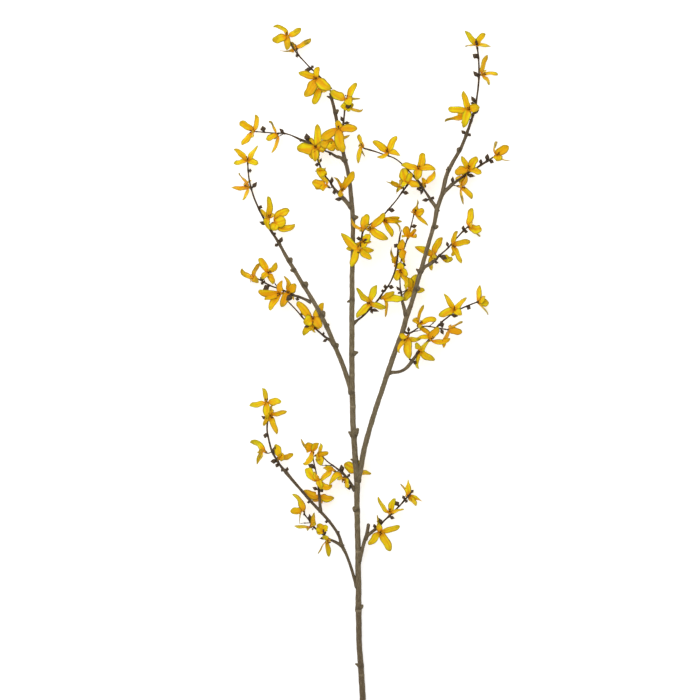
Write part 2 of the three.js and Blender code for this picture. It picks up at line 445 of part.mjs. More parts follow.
    petals: [[356.6, 287.9, 0.1, 0.75], [375.9, 284.8, 0.1, 0.92], [356.3, 317.8, 0.1, 0.95],
             [385.6, 307.9, 0.1, 0.75]] },
  { node: "flowers_inner", stem: "inner", root: [381, 296], throat: [383.3, 297.3, 4],
    petals: [[404, 298.8, 0.1, 0.95], [394.3, 292, 0.5, 0.8], [384.6, 317.1, -0.1, 0.42],
             [388, 300, -0.6, 0.6]] },
  { node: "flowers_cross_base", stem: "cross", root: [361, 240.5], throat: [359, 250, 5],
    petals: [[341, 233.4, 0.1, 1.05], [351, 267, 0.1, 1.05], [374, 249.8, 0.1, 0.85],
             [371.8, 258.8, 0.2, 0.85]] },
  { node: "flowers_cross_base", stem: "cross", root: [361, 240.5], throat: [363.3, 227.5, 5],
    petals: [[364.8, 214.8, 0.3, 1.2], [351.2, 218.3, 0.1, 0.5], [369, 231, -0.9, 0.5],
             [361, 232, -0.9, 0.5]] },
  { node: "flowers_cross_middle", stem: "cross", root: [377.5, 219.2], throat: [371, 227.9, 5],
    petals: [[388.3, 239.2, 0.1, 1.15], [385, 213.6, 0.2, 0.95], [369, 232.5, -0.8, 0.5],
             [367.5, 224, 0.5, 0.6]] },
  { node: "flowers_cross_middle", stem: "cross", root: [381, 216.6], throat: [384.3, 220.4, 4],
    petals: [[399.6, 217.4, 0.2, 0.6], [401.9, 221.6, 0, 0.45], [392, 237.3, 0.1, 0.7],
             [398.7, 231.9, -0.4, 0.2]] },
  { node: "flowers_cross_tip", stem: "cross", root: [401.7, 192.7], throat: [399.6, 188, 2.5],
    petals: [[391.6, 180.8, 0.4, 0.62], [386.3, 181.2, 0, 0.3], [395.9, 193.2, 0.3, 0.35],
             [403, 180, -0.8, 0.5]] },
  { node: "flowers_cross_tip", stem: "cross", root: [409.5, 182.3], throat: [407.2, 181.5, 5],
    petals: [[402.3, 168.5, 0.1, 1.35], [402.3, 188, 0.5, 0.6], [419.6, 186.8, 0.1, 0.85],
             [411, 173, 0.4, 0.7]] },
  { node: "flower_right_cross_tip", stem: "rightCross", root: [364.2, 148.3], throat: [362.2, 146.3, 1],
    petals: [[358.8, 134.1, 0.1, 0.5], [358.2, 163.6, 0.1, 0.58], [365, 156.2, -0.3, 0.25],
             [360, 142, -0.9, 0.6]] },
  { node: "flower_right_cross_middle", stem: "rightCross", root: [388.6, 156], throat: [387.3, 151.5, 5],
    petals: [[372.6, 141.2, 0.1, 1], [396.9, 136.2, 0.1, 0.9], [400.2, 155.3, 0.2, 0.75],
             [376.8, 157.6, 0.2, 0.6]] },
  { node: "flowers_right_cross_base", stem: "rightCross", root: [414.5, 177], throat: [418.5, 169, 5],
    petals: [[423, 152.9, 0.1, 1], [401, 165, -0.1, 0.9], [435.8, 169.6, 0.1, 0.85],
             [417, 180.3, 0.3, 1.15]] },
  { node: "flowers_right_cross_base", stem: "rightCross", root: [421.5, 186], throat: [423.8, 184.3, 0],
    petals: [[435, 170.8, 0, 0.75], [421.5, 178, 0.4, 0.5], [424, 188.5, -0.6, 0.7],
             [419, 180, -0.9, 0.5]] },
  { node: "flower_left_tip", stem: "left", root: [247.6, 163], throat: [247.5, 159.3, 4],
    petals: [[234, 148.2, 0.1, 0.75], [257.5, 145.3, 0.1, 0.52], [233.5, 162.8, 0, 0.6],
             [258.3, 163.1, 0.3, 0.88]] },
  { node: "flower_left_upper", stem: "left", root: [251, 188.5], throat: [247.2, 186.3, 1.5],
    petals: [[231, 188, 0.1, 0.6], [242, 199.8, 0, 0.45], [238.3, 172.8, 0, 0.15],
             [250, 179.5, floor, 0.8]] },
  { node: "flowers_left_middle", stem: "left", root: [265.3, 221], throat: [269, 217.5, 4],
    petals: [[267.8, 196.3, 0.1, 0.8], [260.4, 209.8, 0.4, 0.6], [270.3, 230.3, 0.4, 0.6],
             [275, 214, -0.6, 0.6]] },
  { node: "flowers_left_middle", stem: "left", root: [270.5, 229.7], throat: [276, 222, 2.5],
    petals: [[289.6, 211.4, 0.1, 1.1], [295, 224.3, 0.1, 0.95], [286.3, 220.5, 0.5, 1.5],
             [273, 231, 0.3, 1.4]] },
  { node: "flowers_left_twig_tip", stem: "leftUpperTwig", root: [250.5, 276.3], throat: [252.6, 277.5, 2.5],
    petals: [[241.7, 268.1, 0.2, 0.7], [259.8, 263.3, 0.1, 0.55], [258.6, 282.6, 0.4, 0.8],
             [250.5, 280.5, floor, 0.6]] },
  { node: "flowers_left_twig_tip", stem: "leftUpperTwig", root: [265, 282.8], throat: [268.2, 272.8, 5],
    petals: [[258.7, 258, 0.1, 0.9], [275.7, 262.2, 0.2, 0.72], [272.3, 284.3, 0.3, 0.85],
             [261.7, 279, 0.5, 0.85]] },
  { node: "flowers_left_twig_base", stem: "leftUpperTwig", root: [281, 289.5], throat: [279.6, 294, 5],
    petals: [[258.4, 290.2, 0.1, 0.88], [282, 280.2, 0.3, 0.8], [270.6, 310.6, 0.1, 0.85],
             [264.3, 299.8, -0.2, 0.75]] },
  { node: "flowers_left_twig_base", stem: "leftUpperTwig", root: [292, 294.8], throat: [288, 292.2, 5],
    petals: [[284.4, 275.5, 0.1, 0.6], [295.3, 283.6, 0.3, 1.15], [281.3, 307, 0.2, 1.1],
             [294, 299, -0.9, 0.6]] },
  { node: "flowers_left_lower_twig", stem: "leftLowerTwig", root: [309, 323.5], throat: [313, 319, 3],
    petals: [[296.7, 302.2, 0.1, 1], [323.6, 302.6, -0.5, 0.9], [320.8, 328, 0.4, 1.3],
             [304.5, 324.5, 0.3, 1.5]] },
  { node: "flowers_left_lower_twig", stem: "leftLowerTwig", root: [318.5, 331.5], throat: [315, 327.8, 2.5],
    petals: [[303.6, 335.6, 0.1, 0.95], [306, 325.5, -0.4, 0.8], [321.3, 323, -0.6, 0.8],
             [312, 330, 0.4, 0.9]] },
  { node: "flower_upper_left_tip", stem: "upperLeft", root: [256, 131.4], throat: [252.3, 131.3, 3],
    petals: [[239, 122.8, 0.1, 0.95], [255.4, 114.3, 0.1, 0.65], [242, 145.2, 0.1, 0.8],
             [254.5, 136, 0.8, 0.5]] },
  { node: "flower_upper_left_middle", stem: "upperLeft", root: [279, 133.1], throat: [276.3, 135.5, 0.5],
    petals: [[268.8, 121, 0.1, 0.35], [266, 139.9, 0.4, 0.8], [271.8, 153.3, 0, 0.5],
             [270.5, 133, -0.8, 0.6]] },
  { node: "flowers_inner_left_tip", stem: "innerLeft", root: [318.5, 161.5], throat: [316.2, 148.5, 5],
    petals: [[317.6, 124.3, 0.1, 1.05], [297, 147, 0.1, 1.5], [328, 143, 0.2, 1.25],
             [315, 162, 0.4, 1.1]] },
  { node: "flowers_main_top", stem: "main", root: [341, 137], throat: [333.8, 142.5, 4],
    petals: [[320, 143.3, 0.2, 1.45], [350, 135.7, -0.1, 0.4], [327.5, 149.3, 0.2, 1.2],
             [341.5, 149.5, 0.1, 1.1]] },
  { node: "flowers_main_top", stem: "main", root: [341, 137], throat: [338.8, 129.3, 7],
    petals: [[357.4, 128.8, 0.1, 1.02], [337, 120.8, -0.2, 0.9], [321.3, 139.2, 0.1, 1.25],
             [344.6, 151.8, 0.2, 1.3]] },
  { node: "flowers_inner_left_tip", stem: "innerLeft", root: [320.4, 166.5], throat: [321, 171, 5],
    petals: [[327, 171.8, 0.3, 1.2], [317.3, 168.3, 0.3, 1], [322.5, 177, 0.4, 1.15],
             [321, 168, 0.6, 1]] },
  { node: "flowers_inner_left_base", stem: "innerLeft", root: [332.5, 186.5], throat: [325.5, 184.7, 2],
    petals: [[312, 182.3, 0.3, 1.25], [323, 191, 0.5, 0.95], [319, 176.6, 0, 0.5],
             [315, 187.8, -0.4, 0.9]] },
  { node: "flowers_inner_left_base", stem: "innerLeft", root: [343, 197.5], throat: [342.5, 190, 6],
    petals: [[353.6, 171.5, 0.1, 0.95], [333.3, 178, -0.1, 0.25], [345, 175.8, 0.1, 0.5],
             [338.5, 196.5, 0.5, 0.8]] },
  { node: "flowers_top_tip", stem: "top", root: [289.7, 41], throat: [287.2, 35.2, 3.5],
    petals: [[273.2, 27.3, 0.1, 0.6], [301, 28, 0.1, 0.85], [272.6, 41.3, 0.1, 1.05],
             [286.5, 50, 0.3, 0.9]] },
  { node: "flowers_top_tip", stem: "top", root: [297.5, 53.5], throat: [295.3, 48.5, -2.5],
    petals: [[311, 38, 0.1, 0.75], [279.6, 50.4, 0.1, 0.15], [289.3, 42, -0.3, 0.6],
             [292, 47.5, floor, 0.6]] },
  { node: "flowers_top_base", stem: "top", root: [317.5, 74.5], throat: [315.8, 78.5, 6],
    petals: [[298.3, 73.4, 0.1, 0.9], [319.2, 67.4, 0.3, 0.8], [304.8, 96.9, 0.1, 1.3],
             [330.8, 90, 0.1, 1.25]] },
  { node: "flowers_top_base", stem: "top", root: [325, 82.5], throat: [321, 89.3, -2],
    petals: [[312.8, 104, 0.1, 1], [316, 90, -0.8, 0.5], [327.7, 91, -0.8, 0.5], [316.5, 84, -0.7, 1]] },
  { node: "flowers_top_side", stem: "topSide", root: [344.7, 103.5], throat: [346.2, 98.7, 5],
    petals: [[330.2, 91.4, 0.1, 1.2], [356.6, 83, 0.1, 0.8], [360, 98, 0, 0.35],
             [350.5, 105.5, 0.5, 1.3]] },
  { node: "flowers_top_side", stem: "topSide", root: [344.8, 108.5], throat: [348.2, 106.7, 1],
    petals: [[362.8, 108.8, 0, 0.4], [352.8, 103.5, 0.2, 0.9], [351, 109, 0.3, 0.9],
             [340.3, 107, 0.2, 1]] },
  { node: "flower_right_tip", stem: "right", root: [477.5, 47.5], throat: [476.6, 44.2, 3],
    petals: [[464.9, 30.4, 0.1, 0.75], [485.4, 33.3, 0.3, 0.8], [466.3, 45.2, floor, 0.25],
             [491.2, 45.8, -0.1, 0.45]] },
  { node: "flower_right_upper", stem: "right", root: [479, 75], throat: [482.6, 74, 1],
    petals: [[487.8, 54.8, 0.1, 0.65], [497.8, 75.2, 0.1, 0.5], [489.9, 84.8, 0, 0.5],
             [486, 72, -0.9, 0.6]] },
  { node: "flowers_right_upper_base", stem: "right", root: [473.3, 114], throat: [469, 109.5, 6],
    petals: [[463.6, 90.8, 0.1, 0.75], [448, 109, 0.1, 0.95], [463.2, 127.8, 0.1, 1.1],
             [479.6, 107.8, 0.2, 1.1]] },
  { node: "flowers_right_upper_base", stem: "right", root: [471, 121], throat: [462.5, 117.5, -1],
    petals: [[444.6, 121.6, 0.1, 0.3], [458.5, 111.5, -0.4, 0.8], [463.5, 121, -0.8, 0.5],
             [468.5, 114, -0.9, 0.6]] },
  { node: "flowers_right_side_middle", stem: "rightSide", root: [467, 173.8], throat: [468.5, 168.2, 5],
    petals: [[460.8, 157, 0.2, 0.75], [477, 157, 0.2, 1.05], [454.6, 172.2, 0.2, 1.1],
             [481.5, 173.2, 0.2, 0.85]] },
  { node: "flowers_right_side_middle", stem: "rightSide", root: [465, 175], throat: [463.5, 177.5, -3],
    petals: [[455.3, 178.6, 0.2, 0.7], [461.5, 186, 0.2, 0.42], [466.5, 180.5, 0.1, 0.38],
             [470, 171, -0.9, 0.5]] },
  { node: "flower_right_side_base", stem: "rightSide", root: [451.8, 185.4], throat: [462, 187, 1.5],
    petals: [[466.8, 173.2, -0.2, 0.5], [464, 204.5, 0, 0.36], [471.8, 199.2, 0.2, 0.75],
             [459, 180, -0.8, 0.6]] },
  { node: "flower_right_side_tip", stem: "rightSide", root: [493.3, 157.1], throat: [497, 154.7, 2],
    petals: [[509, 146.4, 0.3, 1.1], [496.5, 160.6, 0.4, 1.35], [498.4, 142, floor, 0.14],
             [511.4, 159.3, -0.2, 0.2]] },
  { node: "flowers_cross_base", stem: "cross", root: [361, 240.5], throat: [363.2, 241.8, 1.5],
    petals: [[369.6, 234.2, 0.1, 1], [364.8, 247.6, 0.2, 1.2], [346.2, 249.6, -0.1, 0.8],
             [371, 242.2, -0.3, 0.4]] },
  { node: "flowers_inner_left_tip", stem: "innerLeft", root: [318.5, 161.5], throat: [317.5, 151.2, 1],
    petals: [[309.2, 137.6, -0.1, 0.85], [308.6, 154.4, 0.1, 1.3], [319.6, 163.5, 0.2, 0.45],
             [326.5, 148.2, 0.1, 0.9]] },
];

const woodFinish = { color: 0x6d624e, roughness: 0.85, metalness: 0 };
const petalFinish = { color: 0xf0b414, roughness: 0.6, metalness: 0 };

const up = new THREE.Vector3(0, 0, 1);
const across = new THREE.Vector3(1, 0, 0);

// A point of the layout sheet at a height, in the part's own frame
function place(x, y, height) {
  return new THREE.Vector3((x - sheetMiddle.x) * sheetStep, (sheetMiddle.y - y) * sheetStep, height);
}

function solidOf(geometry) {
  geometry.deleteAttribute("normal");
  geometry.deleteAttribute("uv");
  const merged = mergeVertices(geometry, 1e-5);
  const vertProperties = new Float32Array(merged.attributes.position.array);
  const triVerts = new Uint32Array(merged.index.array);
  return new wasm.Manifold(new wasm.Mesh({ numProp: 3, vertProperties, triVerts }));
}

function meshOf(name, solid, finish) {
  const { vertProperties, triVerts } = solid.getMesh();
  const geometry = new THREE.BufferGeometry();
  geometry.setAttribute("position", new THREE.BufferAttribute(vertProperties, 3));
  geometry.setIndex(new THREE.BufferAttribute(triVerts, 1));
  geometry.computeVertexNormals();
  const mesh = new THREE.Mesh(geometry, new THREE.MeshStandardMaterial(finish));
  mesh.name = name;
  return mesh;
}

// Linear reading of a list of values spread evenly over t = 0 to 1
function along(values, t) {
  const spot = t * (values.length - 1);
  const low = Math.min(Math.floor(spot), values.length - 2);
  return THREE.MathUtils.lerp(values[low], values[low + 1], spot - low);
}

// A closed round rod through a list of points, with one radius for each of them
function rod(points, radii, sides) {
  const curve = new THREE.CatmullRomCurve3(points, false, "centripetal");
  const reach = new THREE.Vector3().subVectors(points[points.length - 1], points[0]).normalize();
  const face = Math.abs(reach.z) > 0.8 ? across : up;
  const geometry = new THREE.CylinderGeometry(1, 1, 1, sides, points.length - 1);
  const position = geometry.attributes.position;
  for (let i = 0; i < position.count; i += 1) {
    const t = position.getY(i) + 0.5;
    const side = new THREE.Vector3().crossVectors(curve.getTangent(t), face).normalize();
    const front = new THREE.Vector3().crossVectors(side, curve.getTangent(t));
    const point = curve.getPoint(t);
    point.addScaledVector(side, position.getX(i) * along(radii, t));
    point.addScaledVector(front, position.getZ(i) * along(radii, t));
    position.setXYZ(i, point.x, point.y, point.z);
  }
  return solidOf(geometry);
}

// A closed spindle from foot to tip, swelling to waist, where side and front are its half widths as vectors
function spindle({ foot, waist, tip, side, front, bulge = waist, grow }) {
  const run = new THREE.Vector3().subVectors(tip, foot).setLength(grow);
  const wide = side.clone().setLength(side.length() + grow);
  const deep = front.clone().setLength(front.length() + grow);
  const geometry = new THREE.OctahedronGeometry(1, 0);
  const position = geometry.attributes.position;
  for (let i = 0; i < position.count; i += 1) {
    const corner = new THREE.Vector3().fromBufferAttribute(position, i);
    let point = waist.clone().addScaledVector(wide, corner.x);
    if (corner.y > 0.5) {
      point = tip.clone().add(run);
    } else if (corner.y < -0.5) {
      point = foot.clone().sub(run);
    } else if (Math.abs(corner.z) > 0.5) {
      point = bulge.clone().addScaledVector(deep, corner.z);
    }
    position.setXYZ(i, point.x, point.y, point.z);
  }
  return solidOf(geometry);
}

function stemPoints(stem) {
  return stem.route.map(([x, y, height]) => place(x, y, height));
}

// The point of a stem's centre line nearest to x, y of the layout sheet, with the stem's radius and heading
function jointOn(stem, x, y) {
  const points = stemPoints(stem);
  const target = place(x, y, 0);
  let best = { distance: Infinity };
  for (let i = 0; i + 1 < points.length; i += 1) {
    const flat = [points[i], points[i + 1], target].map((p) => new THREE.Vector2(p.x, p.y));
    const run = flat[1].sub(flat[0]);
    const t = THREE.MathUtils.clamp(flat[2].sub(flat[0]).dot(run) / run.lengthSq(), 0, 1);
    const point = points[i].clone().lerp(points[i + 1], t);
    const distance = Math.hypot(point.x - target.x, point.y - target.y);
    if (distance < best.distance) {
      const radius = THREE.MathUtils.lerp(stem.route[i][3], stem.route[i + 1][3], t);
      const heading = points[i + 1].clone().sub(points[i]).normalize();
      const atEnd = i + 2 === points.length && t > 0.8;
      best = { distance, point, radius, heading, atEnd };
    }
  }
  return best;
}

function stemSolid(stem, grow) {
  const radii = stem.route.map((entry) => entry[3] + grow);
  let solid = rod(stemPoints(stem), radii, stem.sides ?? 5);
  for (const [footX, footY, tipX, tipY, thickness, rise] of stem.shoots) {
    const { point: foot } = jointOn(stem, footX, footY);
    const tip = place(tipX, tipY, foot.z + rise);
    const waist = foot.clone().lerp(tip, 0.6);
    const side = new THREE.Vector3().subVectors(tip, foot).cross(up).setLength(thickness / 2);
    const front = up.clone().multiplyScalar(thickness / 2);
    solid = solid.add(spindle({ foot, waist, tip, side, front, grow }));
  }
  return solid;
}

// One petal: a thin blade that leaves the throat and bends over to its tip
function petal(throat, facing, tip, breadth, grow) {
  const out = new THREE.Vector3().subVectors(tip, throat);
  const level = new THREE.Vector3().crossVectors(out, up).normalize();
  const lying = new THREE.Vector3().crossVectors(level, out).normalize();
  const turn = Math.acos(Math.min(1, breadth));
  const side = level.clone().multiplyScalar(Math.cos(turn)).addScaledVector(lying, -Math.sin(turn));
  const front = lying.clone().multiplyScalar(Math.cos(turn)).addScaledVector(level, Math.sin(turn));
  const waist = throat.clone().addScaledVector(out, 0.55).addScaledVector(facing, petalRise * 0.7);
  const bulge = throat.clone().addScaledVector(out, 0.38).addScaledVector(facing, petalRise);
  const foot = throat.clone().addScaledVector(out.normalize(), -0.6).addScaledVector(facing, -1);
  side.multiplyScalar((petalWidth / 2) * Math.max(1, breadth));
  front.multiplyScalar(petalThickness / 2);
  return spindle({ foot, waist, tip, side, front, bulge, grow });
}

// A flower on its joint, with the four petals of its entry. Where it would run along its twig, its stalk
// first stands clear of the twig
function flowerSolid(flower, joint, grow) {
  const throat = place(flower.throat[0], flower.throat[1], joint.point.z + flower.throat[2]);
  const reach = new THREE.Vector3().subVectors(throat, joint.point).normalize();
  const slope = reach.dot(joint.heading);
  const path = [joint.point];
  if (Math.abs(slope) > 0.75 && !joint.atEnd) {
    const aside = reach.clone().addScaledVector(joint.heading, -slope).addScaledVector(up, 0.2).normalize();
    path.push(joint.point.clone().addScaledVector(aside, joint.radius + clearance + jointSwelling * 1.5));
  }
  const facing = new THREE.Vector3().subVectors(throat, path[path.length - 1]).normalize();
  path.push(throat);
  const radii = path.map(() => stalkRadius + grow);
  radii.splice(-1, 1, tubeRadius + grow);
  const parts = [rod(path, radii, 4)];
  for (const [x, y, rise, breadth] of flower.petals) {
    const tip = place(x, y, 0);
    if (rise !== floor) {
      const level = Math.hypot(tip.x - throat.x, tip.y - throat.y);
      const room = Math.max((flower.reach ?? petalReach) ** 2 - level ** 2, 16);
      tip.z = throat.z + rise * Math.sqrt(room);
    }
    parts.push(petal(throat, facing, tip, breadth, grow));
  }
  return parts.reduce((sum, part) => sum.add(part));
}

// The flowers of one node: a lone one stands on the twig, and two grow from a swollen joint around it
function blossomSolid(members, grow) {
  const stem = stems[members[0].stem];
  const roots = members.map((flower) => flower.root);
  const middle = [0, 1].map((axis) => roots.reduce((sum, root) => sum + root[axis], 0) / roots.length);
  const joint = jointOn(stem, ...middle);
  const parts = members.map((flower) => flowerSolid(flower, joint, grow));
  if (members.length > 1) {
    const swelling = new THREE.OctahedronGeometry(joint.radius + clearance + jointSwelling * 2 + grow, 0);
    swelling.translate(joint.point.x, joint.point.y, joint.point.z);
    parts.push(solidOf(swelling));
  }
  return parts.reduce((sum, part) => sum.add(part));
}

// Nodes in order: wood first, then blossom; each later piece is trimmed clear of the earlier ones
const pieces = [];
for (const stem of Object.values(stems)) {
  const known = pieces.find((piece) => piece.name === stem.node);
  if (known) {
    known.solid = known.solid.add(stemSolid(stem, 0));
    known.keepOut = known.keepOut.add(stemSolid(stem, clearance));
  } else {
    const [solid, keepOut] = [0, clearance].map((grow) => stemSolid(stem, grow));
    pieces.push({ name: stem.node, solid, keepOut, finish: woodFinish });
  }
}
for (const name of new Set(flowers.map((flower) => flower.node))) {
  const members = flowers.filter((flower) => flower.node === name);
  const [solid, keepOut] = [0, clearance].map((grow) => blossomSolid(members, grow));
  pieces.push({ name, solid, keepOut, finish: petalFinish });
}

function boxesMeet(a, b) {
  return [0, 1, 2].every((axis) => a.min[axis] < b.max[axis] && b.min[axis] < a.max[axis]);
}

const branch = new THREE.Group();
pieces.forEach((piece, index) => {
  for (const earlier of pieces.slice(0, index)) {
    if (boxesMeet(piece.solid.boundingBox(), earlier.keepOut.boundingBox())) {
      piece.solid = piece.solid.subtract(earlier.keepOut);
    }
  }
  const [largest] = piece.solid.decompose().sort((a, b) => b.volume() - a.volume());
  branch.add(meshOf(piece.name, largest.simplify(smallestDetail), piece.finish));
});

export default branch;
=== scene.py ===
# Forsythia branch: rebuilds the bark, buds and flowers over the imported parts
import math
import random
from functools import partial

import bpy
import numpy as np
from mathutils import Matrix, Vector


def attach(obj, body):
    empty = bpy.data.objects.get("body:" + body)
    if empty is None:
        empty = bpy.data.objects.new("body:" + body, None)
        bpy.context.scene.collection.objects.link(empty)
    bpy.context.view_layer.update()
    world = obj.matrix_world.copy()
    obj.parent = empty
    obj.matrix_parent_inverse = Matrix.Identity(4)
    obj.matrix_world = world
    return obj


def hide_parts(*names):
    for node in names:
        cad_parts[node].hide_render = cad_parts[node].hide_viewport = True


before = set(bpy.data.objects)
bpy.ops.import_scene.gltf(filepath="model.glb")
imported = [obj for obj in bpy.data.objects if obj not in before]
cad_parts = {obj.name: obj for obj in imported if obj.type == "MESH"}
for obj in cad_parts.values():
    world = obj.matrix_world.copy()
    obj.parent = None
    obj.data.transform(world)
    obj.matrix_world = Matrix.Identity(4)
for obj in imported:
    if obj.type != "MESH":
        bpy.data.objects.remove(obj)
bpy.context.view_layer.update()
print("frame loaded with", len(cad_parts), "parts")

# Every x and y below is in steps of a layout sheet, y counted downwards; heights, radii and sizes are in mm
sheet = {"step": 1.25, "middleX": 371.2, "middleY": 367.53}
mm = 0.001
fullTurn = 2 * math.pi
straightUp, alongX, alongY = (np.array(way) for way in ([0.0, 0.0, 1.0], [1.0, 0.0, 0.0], [0.0, 1.0, 0.0]))
nearUpright = 0.8  # the upward share from which a direction counts as upright


def place(x, y, height):
    return np.array([(x - sheet["middleX"]) * sheet["step"], (sheet["middleY"] - y) * sheet["step"], height])


def lengthOf(vector):
    return float(np.linalg.norm(vector))


def unit(vector):
    return vector / max(lengthOf(vector), 1e-9)


def cleared(vector, axis):  # what is left of a vector square to an axis
    return vector - axis * float(np.dot(vector, axis))


def aside(direction):  # a way square to a direction: upwards, or along X where the direction is near upright
    return unit(cleared(straightUp if abs(direction[2]) < nearUpright else alongX, direction))


def turned(vector, axis, angle):
    return (vector * math.cos(angle) + np.cross(axis, vector) * math.sin(angle)
            + axis * float(np.dot(axis, vector)) * (1 - math.cos(angle)))


def easeIn(values, start, end):
    t = np.clip((np.asarray(values, float) - start) / (end - start), 0, 1)
    return t * t * (3 - 2 * t)


def outlineAt(t, outline):  # the value at t of an outline given as (position, value) pairs
    return np.interp(t, *zip(*outline))


def steps(count):  # that many even shares of the way, from 0 to 1
    return np.linspace(0, 1, count)


def roundAngles(sides):
    return np.linspace(0, fullTurn, sides, endpoint=False)


def camel(name):
    first, *rest = name.split("_")
    return first + "".join(word.capitalize() for word in rest)


